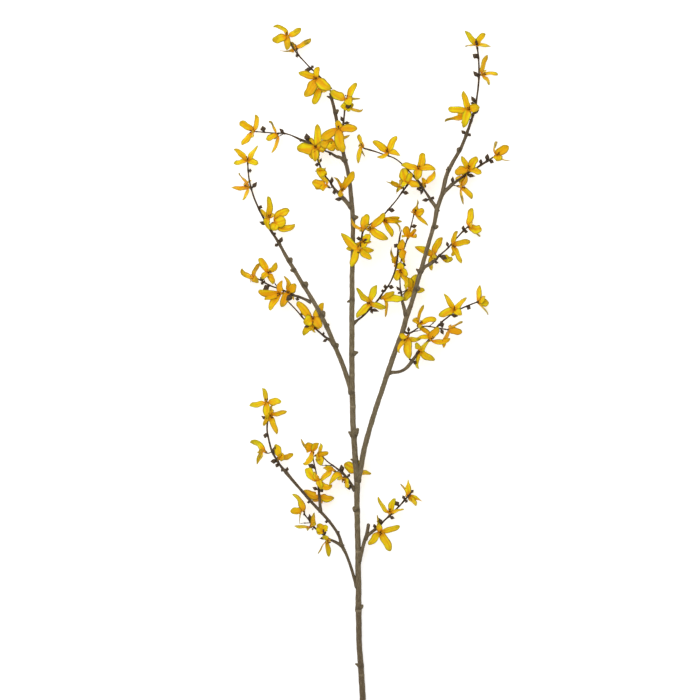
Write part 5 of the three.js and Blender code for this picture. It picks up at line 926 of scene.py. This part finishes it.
stemLooks = {
    "thickFrom": 2.3, "thickStems": ("main", "left", "right"),  # these get the finer ring of sides
    "ringGap": 1.4, "thickSides": 26, "thinSides": 12, "barkDepth": 0.04, "blend": (0.1, 0.2, 0.4, 0.2, 0.1),
    "lump": 0.045, "furrow": 0.03, "squareness": 0.04, "thinLumps": 0.7,
    # lobes round the stem, length along it in mm, kind and share of its size
    "waves": [(1, 46, "lump", 1), (2, 21, "lump", 0.7), (3, 13, "furrow", 1), (5, 60, "furrow", 1),
              (7, 34, "furrow", 0.6), (4, 9, "furrow", 0.5)],
    # a side stem gains this share of its radius where it leaves its parent, and darkens there
    "collar": 0.45, "collarLength": 2.2, "collarShade": 0.5, "collarShadeLength": 1.2,
    "sturdyFrom": 1.75, "parentRadius": 3.6, "thinParentRadius": 1.6,
    # the swelling at each shoot; the last two are shares that apply to thick or thin stems
    "jointSwelling": 0.3, "jointLength": 1.5, "jointShade": 0.55, "thickLength": 1.6, "thinSwelling": 0.8,
    "tipCap": (0.35, 0.7, 0.93), "grainShift": 400, "scarLight": 0.6,
    # the cut foot: depth and share of its soft rim, depths and shares of the wood inside
    "rimDepth": 0.25, "rimShare": 0.93, "woodDepths": (-0.05, 0.5), "woodShares": (0.9, 0.86),
    # how dark the bark has weathered along some stems: y, share
    "weather": {
        "main": [(708, 0.75), (610, 0.7), (560, 0.15), (300, 0.0), (215, 0.3), (190, 0.6), (140, 0.9),
                 (94, 0.95)],
        "lowerLeft": [(588, 0.3), (530, 0.3), (500, 0.7), (460, 0.9)],
        "right": [(480, 0.1), (200, 0.2), (140, 0.6), (90, 0.95)],
        "left": [(394, 0.2), (260, 0.2), (220, 0.7)],
    },
    "weatherElsewhere": [(0, 0.3)],
}
# Old rings and leaf scars on the main stem: x, y, swelling, how pale, half length
mainScars = [
    (361.5, 676, 0.25, 1.0, 0.9), (359.3, 645, 0.15, 0.5, 0.8), (358.6, 611, 0.55, 0.8, 1.6),
    (358.7, 603, 0.2, 0.6, 0.9), (358.2, 552, 0.2, 0.8, 1.2), (357.2, 514.5, 0.4, 0.5, 1.8),
    (352.6, 407, 0.4, 0.9, 1.2), (352.2, 374.5, 0.15, 0.7, 1.0), (357, 482, 0.15, 0.5, 1.0),
]


anyPhase = (0, 6.3)


def lumps(angle, run, luck, waves):
    # uneven growth: each wave has lobes round the stem, a length along it in mm, and a size
    total = 0
    for lobes, length, size in waves:
        lean, start, second = luck.uniform(-0.6, 0.6), luck.uniform(*anyPhase), luck.uniform(*anyPhase)
        around = np.sin(lobes * angle + start + lean * np.sin(run * 4 / length + second))
        total = total + size * around * np.sin(run * 2 * math.pi / length + second + lobes * start)
    return total


def addStem(shape, key, luck):
    looks = stemLooks
    route = stems[key]["route"]
    thick = key in looks["thickStems"] and max(entry[3] for entry in route[:4]) >= looks["thickFrom"]
    sides = looks["thickSides"] if thick else looks["thinSides"]
    line, places, run = smoothLine(stemLine(key), looks["ringGap"])
    radius = np.interp(places, range(len(route)), [entry[3] for entry in route])
    reach = len(looks["blend"]) // 2
    radius = np.convolve(np.pad(radius, reach, mode="edge"), looks["blend"], mode="valid") + looks["barkDepth"]
    pale, shade = np.zeros(len(run)), np.zeros(len(run))
    if key != "main":
        sturdy = thick or route[0][3] > looks["sturdyFrom"]
        outside = np.maximum(run - (looks["parentRadius"] if sturdy else looks["thinParentRadius"]), 0)
        radius = radius * (1 + looks["collar"] * np.exp(-outside / looks["collarLength"]))
        shade += looks["collarShade"] * np.exp(-outside / looks["collarShadeLength"])
    jointLength = looks["jointLength"] * (looks["thickLength"] if thick else 1)
    for x, y, *_ in stems[key]["shoots"] + [flower["root"] for flower in flowers if flower["stem"] == key]:
        here = np.interp(jointOn(key, x, y)["place"], places, run)
        near = np.exp(-((run - here) / jointLength) ** 2)
        radius = radius + looks["jointSwelling"] * (1.0 if thick else looks["thinSwelling"]) * near
        shade = np.maximum(shade, looks["jointShade"] * near)
    if key == "main":
        for x, y, swelling, light, half in mainScars:
            here = np.interp(jointOn(key, x, y)["place"], places, run)
            near = np.exp(-((run - here) / half) ** 2)
            radius = radius + swelling * near
            pale = np.maximum(pale, light * np.exp(-((run - here) / (half * looks["scarLight"])) ** 2))
    aged = sorted(looks["weather"].get(key, looks["weatherElsewhere"]))
    weather = outlineAt(np.interp(places, range(len(route)), [entry[1] for entry in route]), aged)
    angle = roundAngles(sides)[None, :]
    swell = lumps(angle, run[:, None], luck,
                  [(lobes, length, looks[kind] * share) for lobes, length, kind, share in looks["waves"]])
    if not thick:
        swell = swell * looks["thinLumps"] - looks["squareness"] * np.cos(4 * angle)
    radii = radius[:, None] * (1 + swell)
    # a rounded tip, except where the main stem is cut
    heads = headingsOf(line)
    cap = np.array(looks["tipCap"])
    line = np.vstack([line, line[-1] + heads[-1] * (cap * radius[-1])[:, None]])
    radii = np.vstack([radii, radii[-1][None] * np.sqrt(1 - cap ** 2)[:, None]])
    marks = {name: np.pad(values, (0, len(cap)), mode="edge") for name, values in (
        ("girth", radius), ("pale", pale), ("shade", shade), ("weather", weather))}
    if key != "main":
        addTube(shape, line, radii, sides, "bark", luck.uniform(0, looks["grainShift"]), **marks)
        return
    # the foot is cut straight across, with a soft rim of bark and the wood showing inside it
    foot = line[0].copy()
    line[0] = foot + heads[0] * looks["rimDepth"]
    line = np.vstack([foot, line])
    radii = np.vstack([radii[0] * looks["rimShare"], radii])
    marks = {name: np.pad(values, (1, 0), mode="edge") for name, values in marks.items()}
    addTube(shape, line, radii, sides, "bark", **marks)
    wood = np.vstack([foot + heads[0] * depth for depth in looks["woodDepths"]])
    addTube(shape, wood, np.vstack([radii[0] * share for share in looks["woodShares"]]), sides, "cut")


budShape = {
    # share of the length, share of the full radius
    "outline": [(0, 0.5), (0.1, 0.42), (0.18, 0.54), (0.28, 0.86), (0.38, 1.02), (0.5, 1.04), (0.6, 0.9),
                (0.7, 0.68), (0.8, 0.45), (0.9, 0.25), (0.96, 0.13), (1.0, 0.03)],
    "scaleRims": (0.34, 0.48, 0.62, 0.76), "scaleStep": 0.13, "scaleDip": 0.1, "scaleFade": 0.07,
    "rimOver": 0.02, "rimFade": 0.03, "fullness": 1.45, "rings": 20, "sides": 12, "tipRadius": 0.05,
    "leanLuck": (-0.06, 0.03), "paleBetween": (0.2, 0.4), "grainShift": 200,
}


def addBud(shape, key, shoot, luck):
    looks = budShape
    joint, foot, tip = shootEnds(key, shoot)
    out = tip - foot
    reach = lengthOf(out)
    start = foot + unit(out) * min(joint["radius"] * 0.7, reach * 0.3)
    lean = joint["heading"] * reach * luck.uniform(*looks["leanLuck"])
    t = steps(looks["rings"])
    line = bend(start, start + (tip - start) * 0.35 + lean, start + (tip - start) * 0.7 + lean, tip, t)
    body = outlineAt(t, looks["outline"])
    angle = roundAngles(looks["sides"])
    turn = luck.uniform(0, 3)
    radii, rims = np.repeat(body[:, None], len(angle), axis=1), np.zeros((len(t), len(angle)))
    for index, rim in enumerate(looks["scaleRims"]):
        edge = rim + looks["scaleDip"] * np.abs(np.cos(angle + turn + index * math.pi / 2))[None, :]
        below = edge - t[:, None]
        step = np.where(below > 0, np.exp(-below / looks["scaleFade"]), 0)
        radii = radii + looks["scaleStep"] * step * body[:, None]
        lit = np.where(below > -looks["rimOver"], np.exp(-np.abs(below) / looks["rimFade"]), 0)
        rims = np.maximum(rims, lit)
    radii = radii * shoot[4] / 2 * looks["fullness"]
    radii[-1] = looks["tipRadius"]
    addTube(shape, line, radii, len(angle), "bud", luck.uniform(0, looks["grainShift"]),
            pale=rims * easeIn(t, *looks["paleBetween"])[:, None])


knobShape = {
    "outline": [(0, 3.4), (0.3, 2.8), (0.55, 2.1), (0.75, 1.6), (0.9, 1.2), (0.97, 0.8), (1, 0.2)],
    "rings": 12, "sides": 14, "waves": [(2, 9, 0.1), (3, 5, 0.08)], "nominalLength": 6, "grainShift": 200,
    "paleTip": 0.6, "paleBetween": (0.85, 1.0), "shade": 0.2, "footShade": 0.5, "footShadeBetween": (0.3, 0.0),
}


def addKnob(shape, key, shoot, luck):
    # a blunt woody stub left by a shed twig
    looks = knobShape
    joint, foot, tip = shootEnds(key, shoot)
    start = foot + unit(tip - foot) * joint["radius"] * 0.55
    t = steps(looks["rings"])
    out = tip - start
    line = bend(start, start + out * 0.4, start + out * 0.75 + joint["heading"] * 0.3, tip, t)
    angle = roundAngles(looks["sides"])[None, :]
    uneven = lumps(angle, t[:, None] * looks["nominalLength"], luck, looks["waves"])
    radii = outlineAt(t, looks["outline"])[:, None] * shoot[4] / 2 * (1 + uneven)
    addTube(shape, line, radii, looks["sides"], "bark", luck.uniform(0, looks["grainShift"]),
            girth=np.full(len(t), joint["radius"]), pale=easeIn(t, *looks["paleBetween"]) * looks["paleTip"],
            shade=looks["footShade"] * easeIn(t, *looks["footShadeBetween"]) + looks["shade"])


leafShape = {
    "rows": 5, "outline": [(0, 0.7), (0.35, 1.0), (0.75, 0.6), (1, 0.04)],
    "thickness": 0.16, "thicknessOutline": [(0, 1), (0.7, 0.8), (1, 0.2)],
    # the section: across, over the middle; its two side points have no thickness
    "section": [(1, 0), (0.5, 1), (0, 1.15), (-0.5, 1), (-1, 0), (-0.5, -1), (0, -0.8), (0.5, -1)],
}


def addLeaf(shape, start, tip, facing, width, finish, cup):
    # a small closed pointed blade, such as a calyx lobe
    looks = leafShape
    out = tip - start
    side = unit(np.cross(out, facing))
    lift = unit(np.cross(side, out))
    t = steps(looks["rows"])
    half = outlineAt(t, looks["outline"]) * width / 2
    middle = start + out * t[:, None] + lift * (np.sin(t * math.pi) * cup)[:, None]
    thick = looks["thickness"] * outlineAt(t, looks["thicknessOutline"])
    points = np.array([middle[i] + side * half[i] * x + lift * thick[i] * y
                       for i in range(len(t)) for x, y in looks["section"]])
    points = np.vstack([points, middle[0], middle[-1]])
    grain = np.column_stack([(points - start) @ side, (points - start) @ lift, (points - start) @ unit(out)])
    addPart(shape, points, ringFaces(len(t), len(looks["section"])), finish, grain=grain)


stalkLooks = {
    "thickness": 0.6, "rings": 14, "sides": 8, "sag": (-0.5, 0.6), "grainShift": 90,
    "outline": [(0, 1.6), (0.1, 1), (0.45, 0.95), (0.55, 1.5), (0.6, 0.7), (0.95, 0.75), (1, 0.3)],
    "starAt": 0.55, "starReach": 1.5, "starWidth": 0.9, "starCup": 0.25, "starLean": 0.7, "starTurn": 0.4,
}


def addSpentStalk(shape, key, shoot, luck):
    # the thin stalk of a fallen flower, with its little star of calyx lobes still on it
    looks = stalkLooks
    _, foot, tip = shootEnds(key, shoot)
    out = tip - foot
    sag = straightUp * luck.uniform(*looks["sag"])
    t = steps(looks["rings"])
    line = bend(foot, foot + out * 0.3 + sag, foot + out * 0.7 + sag, tip, t)
    radii = looks["thickness"] * outlineAt(t, looks["outline"])
    addTube(shape, line, radii, looks["sides"], "bud", luck.uniform(0, looks["grainShift"]),
            pale=np.zeros(len(t)))
    star = foot + out * looks["starAt"] + sag * 0.75
    heading = unit(out)
    side = unit(np.cross(heading, straightUp))
    for quarter in range(4):
        away = turned(side, heading, quarter * math.pi / 2 + looks["starTurn"])
        addLeaf(shape, star, star + away * looks["starReach"] + heading * looks["starLean"], heading,
                looks["starWidth"], "bud", looks["starCup"])


woodRules = {
    "seed": 11, "barkNodes": ("main_stem", "left_branch", "right_branch"),
    "knobFrom": 2.2,  # the stem radius from which a shoot on a branch is a knob
    "stalkUpTo": 1.8, "stalkFrom": 7,  # a shoot this thin and this long is a spent stalk
}


def buildWood():
    rules = woodRules
    luck = random.Random(rules["seed"])
    nodes = list(dict.fromkeys(stem["node"] for stem in stems.values()))
    for node in nodes:
        shape = newShape()
        for key in (key for key in stems if stems[key]["node"] == node):
            addStem(shape, key, luck)
            for shoot in stems[key]["shoots"]:
                reach = lengthOf(place(*shoot[2:4], 0) - place(*shoot[:2], 0))
                branch = key in ("left", "right") and jointOn(key, *shoot[:2])["radius"] > rules["knobFrom"]
                if key == "main" or branch:
                    addKnob(shape, key, shoot, luck)
                elif shoot[4] <= rules["stalkUpTo"] and reach > rules["stalkFrom"]:
                    addSpentStalk(shape, key, shoot, luck)
                else:
                    addBud(shape, key, shoot, luck)
        makePiece(camel(node) + "Wood", shape, woodFinishes, node)
    print("wood built:", len(nodes), "pieces")


buildWood()


petalShape = {
    "reach": 19.0, "width": 9.9, "thickness": 0.34, "rows": 16, "columns": 8,
    # share of the length, share of the full width
    "outline": [(0, 0.5), (0.08, 0.62), (0.2, 0.8), (0.34, 0.94), (0.46, 1.0), (0.58, 0.98), (0.7, 0.9),
                (0.8, 0.77), (0.88, 0.6), (0.94, 0.42), (0.98, 0.25), (1.0, 0.08)],
    # how strongly the blade is shaped; the Luck pairs are the ranges it is drawn from
    "widthLuck": (0.95, 1.05), "cup": 0.2, "cupLuck": (-0.5, 1.3), "crease": 0.6, "creaseLuck": (0.6, 1.3),
    "ripple": 0.4, "rippleLuck": (0.3, 1.3), "curl": 1.3, "curlLuck": (-1.0, 0.6), "lateTwist": 14,
    "lopsided": 0.14, "wander": 0.09, "sweep": 1.5, "creaseWidth": 0.22, "curlFrom": 0.72, "curlSpan": 0.078,
    "arch": 1.9, "archAt": 0.62, "footOut": 1.5, "footDown": 1.2, "footReach": 0.2, "rowCrowding": 1.15,
    "rimThinning": 0.75, "tipThinning": 0.5, "floorGap": 0.12, "tipOnFloor": 0.4, "leastRise": 4,
    "grainShift": 300,
    "dryBelow": 0.38, "dryBetween": (0.15, 0.6),  # petals narrower than this share are dry from there on
    # shares of the length between which the blade turns edge-on, by how the foot lies
    "turnEarly": (-0.25, 0.3), "turnLate": (0.16, 0.62),
}


def petalCurve(throat, facing, tip, via):
    looks = petalShape
    out = tip - throat
    length = lengthOf(out)
    radial = cleared(out, facing)
    if lengthOf(radial) < 0.25 * length:
        radial = unit(radial + cleared(straightUp, facing) * 0.2 * length)
    radial = unit(radial)
    start = throat + radial * looks["footOut"] - facing * looks["footDown"]
    first = start + (facing * 0.6 + radial * 0.4) * length * looks["footReach"]
    second = throat + out * looks["archAt"] + facing * looks["arch"]
    if via is not None:
        middle = (start + 3 * first + 3 * second + tip) / 8
        shift = (via - middle) * 4 / 3
        shift[2] = 0
        first, second = first + shift * 0.8, second + shift * 1.2
    return start, first, second, tip


def petalTip(throat, entry, reach):
    x, y, rise = entry[:3]
    tip = place(x, y, 0)
    if rise == "floor":
        tip[2] = petalShape["tipOnFloor"]
    else:
        level = lengthOf((tip - throat)[:2])
        tip[2] = throat[2] + rise * math.sqrt(max(reach ** 2 - level ** 2, petalShape["leastRise"] ** 2))
    return tip


def petalTurn(out, breadth, natural, head):  # the smaller of the two turns that give the blade its breadth
    level = unit(np.cross(out, straightUp)) if abs(out[2]) < 0.98 else unit(np.cross(out, alongY))
    lying = np.cross(level, out)
    turn = math.acos(min(1.0, breadth))
    choices = []
    for way in (-1, 1):
        wanted = unit(cleared(level * math.cos(turn) + lying * math.sin(turn) * way, head))
        swing = math.atan2(float(np.dot(np.cross(natural, wanted), head)), float(np.dot(natural, wanted)))
        swing = (swing + math.pi / 2) % math.pi - math.pi / 2
        choices.append((abs(swing), swing))
    return min(choices)[1]


def addPetal(shape, throat, facing, entry, luck, reach, tone, dry):
    looks = petalShape
    breadth, through = entry[3], entry[4:]
    tip = petalTip(throat, entry, reach)
    rows, columns = looks["rows"], looks["columns"]
    start, first, second, end = petalCurve(throat, facing, tip, place(*through, 0) if through else None)
    if not through:
        swept = unit(np.cross(end - start, straightUp)) * looks["sweep"] * luck.uniform(-1, 1)
        first, second = first + swept * 0.4, second + swept
    t = 1 - (1 - steps(rows + 1)) ** looks["rowCrowding"]
    middle = bend(start, first, second, end, t)
    heads = headingsOf(middle)
    # the width turns from lying round the throat to the way the blade lies further out
    half = rows // 2
    widthWays = carried(np.cross(cleared(start - throat, facing), facing), heads)
    natural = widthWays[half]
    swing = petalTurn(unit(tip - throat), breadth, natural, heads[half])
    lies = abs(natural[2]) > math.sqrt(max(1 - breadth ** 2, 0))
    turnFrom, turnTo = looks["turnEarly"] if lies else looks["turnLate"]
    length = float(np.linalg.norm(np.diff(middle, axis=0), axis=1).sum())
    width = looks["width"] / 2 * max(1.0, breadth) * luck.uniform(*looks["widthLuck"])
    widths = outlineAt(t, looks["outline"]) * width
    cup, crease, ripple, curl = (looks[name] * luck.uniform(*looks[name + "Luck"])
                                 for name in ("cup", "crease", "ripple", "curl"))
    phases = (luck.uniform(*anyPhase), luck.uniform(*anyPhase))
    lateTwist = math.radians(luck.uniform(-looks["lateTwist"], looks["lateTwist"]))
    across = np.linspace(-1, 1, columns + 1)
    leftMore = (looks["lopsided"] * luck.uniform(-1, 1) * np.sin(math.pi * t)
                + looks["wander"] * np.sin(t * 11 + phases[0]))
    rightMore = looks["wander"] * np.sin(t * 10 + phases[1]) - leftMore * 0.7
    front = np.zeros((rows + 1, columns + 1, 3))
    back = np.zeros_like(front)
    for i in range(rows + 1):
        angle = swing * float(easeIn(t[i], turnFrom, turnTo)) + lateTwist * float(easeIn(t[i], 0.45, 1.0))
        side = turned(widthWays[i], heads[i], angle)
        normal = np.cross(side, heads[i])
        fold = crease * np.exp(-(across / looks["creaseWidth"]) ** 2) * math.sin(math.pi * min(t[i] * 1.15, 1))
        wave = ripple * np.abs(across) ** 2.2 * np.sin(t[i] * 9 + np.where(across > 0, *phases))
        lift = cup * widths[i] * across ** 2 - fold + wave * float(easeIn(t[i], 0.15, 0.5))
        lift = lift + curl * max(t[i] - looks["curlFrom"], 0) ** 2 / looks["curlSpan"]
        body = looks["thickness"] / 2 * (1 - looks["rimThinning"] * across ** 2)
        body = body * (1 - looks["tipThinning"] * t[i])
        if i in (0, rows):
            body = body * 0
        body[0] = body[-1] = 0
        spread = across * widths[i] * np.where(across < 0, 1 + leftMore[i], 1 + rightMore[i])
        base = middle[i] + side * spread[:, None]
        front[i] = base + normal * (lift + body)[:, None]
        back[i] = base + normal * (lift - body)[:, None]
    # both faces share the rim, so the back has points of its own only inside it
    wide = columns + 1
    backAt = np.arange((rows + 1) * wide).reshape(rows + 1, wide)
    inner = backAt[1:-1, 1:-1].copy()
    backAt[1:-1, 1:-1] = (rows + 1) * wide + np.arange(inner.size).reshape(inner.shape)
    points = np.vstack([front.reshape(-1, 3), back[1:-1, 1:-1].reshape(-1, 3)])
    points[:, 2] = np.maximum(points[:, 2], looks["floorGap"])
    faces = []
    for i in range(rows):
        for j in range(columns):
            a = i * wide + j
            faces.append((a + 1, a + wide + 1, a + wide, a))
            faces.append((backAt[i, j], backAt[i + 1, j], backAt[i + 1, j + 1], backAt[i, j + 1]))

    def forBoth(values):
        return np.concatenate([values.ravel(), values[1:-1, 1:-1].ravel()])

    along = forBoth(np.repeat(t[:, None], wide, axis=1))
    dryness = max(dry, 1 if breadth < looks["dryBelow"] else 0) * easeIn(t, *looks["dryBetween"])
    edge = forBoth(np.maximum(np.abs(across)[None, :], dryness[:, None]))
    shift = luck.uniform(0, looks["grainShift"])
    grain = np.column_stack([forBoth(widths[:, None] * across[None, :]) + shift, along * length + shift,
                             np.concatenate([np.zeros(backAt.size), np.full(inner.size, 0.8)])])
    addPart(shape, points, faces, "petal", grain=grain, along=along, edge=edge, tone=tone)


flowerShape = {
    "tubeRadius": 2.5, "tubeLength": 6.5, "tubeSides": 16, "tubeLobes": 0.07,
    # outer wall up to the rim, then down inside the throat: share of the length, radius
    "tubeWall": [(0.0, 0.7), (0.1, 1.05), (0.35, 1.3), (0.65, 1.45), (0.85, 1.7), (1.0, 2.1), (1.0, 1.95),
                 (0.9, 1.55), (0.75, 1.2), (0.55, 0.85), (0.5, 0.3)],
    "stalkRadius": 0.66, "stalkOutline": [(0, 1.25), (0.3, 0.95), (0.8, 1.05), (1, 1.35)], "stalkRings": 9,
    "stalkSides": 8, "tubeShare": 0.68,  # the most of the way from the stem to the throat that is tube
    "alongStem": 0.75, "besideStem": 1.95,  # a flower that points along its stem starts beside the bark
    "calyxReach": 3.4, "calyxWidth": 2.1, "calyxCup": 0.3, "lobeFoot": 0.55, "lobeSpread": (1.5, 2.1),
    "lobeLuck": (0.85, 1.1), "filamentRadius": 0.2, "antherLength": 2.6, "antherRadius": 0.78,
    "antherHeight": (2.2, 3.4), "antherSpread": (0.5, 1.1), "stamenSides": 6, "antherSides": 8,
    "filamentRings": 5, "antherRings": 8, "styleRings": 7,
    "antherOutline": [(0, 0.2), (0.2, 0.85), (0.5, 1), (0.8, 0.8), (1, 0.15)],
    "styleOutline": [(0, 0.25), (0.8, 0.25), (0.9, 0.6), (1, 0.3)], "toneSpread": 0.2, "grainShift": 90,
    "seedFrom": 40,
}


def addFlowerTube(shape, base, facing, side, tubeLength, spin, luck):
    looks = flowerShape
    heights = np.array([height for height, _ in looks["tubeWall"]]) * tubeLength
    radii = np.array([radius for _, radius in looks["tubeWall"]]) * looks["tubeRadius"] / 2.0
    angle = roundAngles(looks["tubeSides"])
    other = np.cross(facing, side)
    ring = np.cos(angle)[:, None] * side + np.sin(angle)[:, None] * other
    lobed = 1 + looks["tubeLobes"] * np.cos(4 * (angle - spin))
    points = np.vstack([base + facing * h + ring * (r * lobed)[:, None] for h, r in zip(heights, radii)])
    points = np.vstack([points, base, base + facing * heights[-1]])
    points[:, 2] = np.maximum(points[:, 2], petalShape["floorGap"])
    grain = np.column_stack([(points - base) @ side, (points - base) @ other, (points - base) @ facing])
    addPart(shape, points, ringFaces(len(heights), len(angle)), "throat",
            grain=grain + luck.uniform(0, looks["grainShift"]))


def addCalyx(shape, base, facing, side, tubeLength, spin, luck):
    looks = flowerShape
    for quarter in range(4):
        away = turned(side, facing, spin + math.pi / 4 + quarter * math.pi / 2)
        start = base + away * looks["lobeFoot"] - facing * 0.2
        tip = (base + away * luck.uniform(*looks["lobeSpread"])
               + facing * looks["calyxReach"] * luck.uniform(*looks["lobeLuck"]) * min(1, tubeLength / 5))
        addLeaf(shape, start, tip, away, looks["calyxWidth"], "calyx", looks["calyxCup"])


def addStamens(shape, throat, base, facing, side, tubeLength, spin, luck):  # two anthers and the style
    looks = flowerShape
    for way in (0, 1):
        away = turned(side, facing, spin + way * math.pi + 0.5)
        low = base + facing * tubeLength * 0.55 + away * 0.5
        high = (throat + facing * luck.uniform(*looks["antherHeight"])
                + away * luck.uniform(*looks["antherSpread"]))
        t = steps(looks["filamentRings"])
        filament = bend(low, low + facing, high - facing, high, t)
        addTube(shape, filament, np.full(len(t), looks["filamentRadius"]), looks["stamenSides"], "stamen")
        t = steps(looks["antherRings"])
        anther = bend(high - facing * 0.9, high, high + facing * 0.5 + away * 0.4,
                      high + facing * (looks["antherLength"] - 1.2) + away * 0.9, t)
        swell = looks["antherRadius"] * outlineAt(t, looks["antherOutline"])
        addTube(shape, anther, swell, looks["antherSides"], "stamen")
    low = base + facing * tubeLength * 0.5
    high = throat + facing * 1.2 + side * 0.2
    t = steps(looks["styleRings"])
    style = bend(low, low + facing, high - facing, high, t)
    addTube(shape, style, outlineAt(t, looks["styleOutline"]), looks["stamenSides"], "stamen")


def addFlower(shape, flower, luck):
    looks = flowerShape
    roots = [other["root"] for other in flowers if other["node"] == flower["node"]]
    joint = jointOn(flower["stem"], *(sum(root[axis] for root in roots) / len(roots) for axis in (0, 1)))
    x, y, over = flower["throat"]
    throat = place(x, y, joint["point"][2] + over)
    before = joint["point"]
    reach = unit(throat - before)
    slope = float(np.dot(reach, joint["heading"]))
    if abs(slope) > looks["alongStem"] and not joint["atEnd"]:
        beside = unit(reach - joint["heading"] * slope + straightUp * 0.2)
        before = before + beside * (joint["radius"] + looks["besideStem"])
    facing = unit(throat - before)
    foot = jointOn(flower["stem"], *flower["root"])["point"]
    tubeLength = min(looks["tubeLength"], lengthOf(throat - foot) * looks["tubeShare"])
    base = throat - facing * tubeLength
    stalkRun = max(lengthOf(base - foot), 0.5)
    t = steps(looks["stalkRings"])
    stalk = bend(foot, foot + unit(base - foot) * stalkRun * 0.4, base - facing * stalkRun * 0.35,
                 base + facing * 0.4, t)
    radii = looks["stalkRadius"] * outlineAt(t, looks["stalkOutline"])
    addTube(shape, stalk, radii, looks["stalkSides"], "calyx", luck.uniform(0, looks["grainShift"]))
    side = aside(facing)
    spin = luck.uniform(0, 1.5)
    addFlowerTube(shape, base, facing, side, tubeLength, spin, luck)
    addCalyx(shape, base, facing, side, tubeLength, spin, luck)
    addStamens(shape, throat, base, facing, side, tubeLength, spin, luck)
    tone = flower.get("tone", luck.random())
    for entry in flower["petals"]:
        own = tone + luck.uniform(-looks["toneSpread"], looks["toneSpread"])
        addPetal(shape, throat, facing, entry, luck, flower.get("reach", petalShape["reach"]),
                 min(1.0, max(0.0, own)), flower.get("dry", 0))


def buildFlowers():
    nodes = list(dict.fromkeys(flower["node"] for flower in flowers))
    for node in nodes:
        shape = newShape()
        for index, flower in enumerate(flowers):
            if flower["node"] == node:
                addFlower(shape, flower, random.Random(flowerShape["seedFrom"] + index))
        makePiece(camel(node) + "Blossom", shape, flowerFinishes, node)
    print("flowers built:", len(flowers), "in", len(nodes), "pieces")


buildFlowers()


# Floor, light and camera
studio = {
    "floorSize": 6.0, "floorPoints": 5, "floor": tint(246, 246, 246), "floorGlow": 0.5, "sky": 0.58,
    "white": (1, 1, 1, 1), "mainLamp": 34.0, "mainLampSize": 2.4, "mainLampAt": (-0.9, 1.1, 2.6),
    "mainLampAim": (0, 0, 0.02),
    "cameraAt": (-0.0265, 0.0219), "cameraHeight": 7.315, "lens": 300.0, "sensor": 36.0, "farthest": 50.0,
}


def addToScene(name, data):
    thing = bpy.data.objects.new(name, data)
    bpy.context.scene.collection.objects.link(thing)
    return thing


def buildFloor():
    mesh = bpy.data.meshes.new("floorSheet")
    half, wide = studio["floorSize"] / 2, studio["floorPoints"]
    line = np.linspace(-half, half, wide)
    faces = [(i * wide + j, i * wide + j + 1, (i + 1) * wide + j + 1, (i + 1) * wide + j)
             for i in range(wide - 1) for j in range(wide - 1)]
    mesh.from_pydata([(x, y, 0.0) for y in line for x in line], [], faces)
    material, _ = newFinish("floorPaper", **{
        "Roughness": 0.9, "Specular IOR Level": 0.1, "Base Color": studio["floor"],
        "Emission Color": studio["white"], "Emission Strength": studio["floorGlow"]})
    mesh.materials.append(material)
    floor = addToScene("floorSheet", mesh)


def buildStudio():
    scene = bpy.context.scene
    world = bpy.data.worlds.new("softRoom")
    scene.world = world
    world.use_nodes = True
    sky = world.node_tree.nodes["Background"].inputs
    sky["Color"].default_value = studio["white"]
    sky["Strength"].default_value = studio["sky"]
    lamp = bpy.data.lights.new("mainLamp", "AREA")
    lamp.energy, lamp.size = studio["mainLamp"], studio["mainLampSize"]
    lampObject = addToScene("mainLamp", lamp)
    lampObject.location = studio["mainLampAt"]
    aim = Vector(studio["mainLampAim"]) - lampObject.location
    lampObject.rotation_euler = aim.to_track_quat("-Z", "Y").to_euler()
    camera = bpy.data.cameras.new("camera")
    camera.lens, camera.sensor_width, camera.clip_end = studio["lens"], studio["sensor"], studio["farthest"]
    cameraObject = addToScene("camera", camera)
    cameraObject.location = (*studio["cameraAt"], studio["cameraHeight"])
    scene.camera = cameraObject
    scene.view_settings.view_transform = "Standard"
    scene.view_settings.look = "None"


buildFloor()
buildStudio()
print("studio ready")
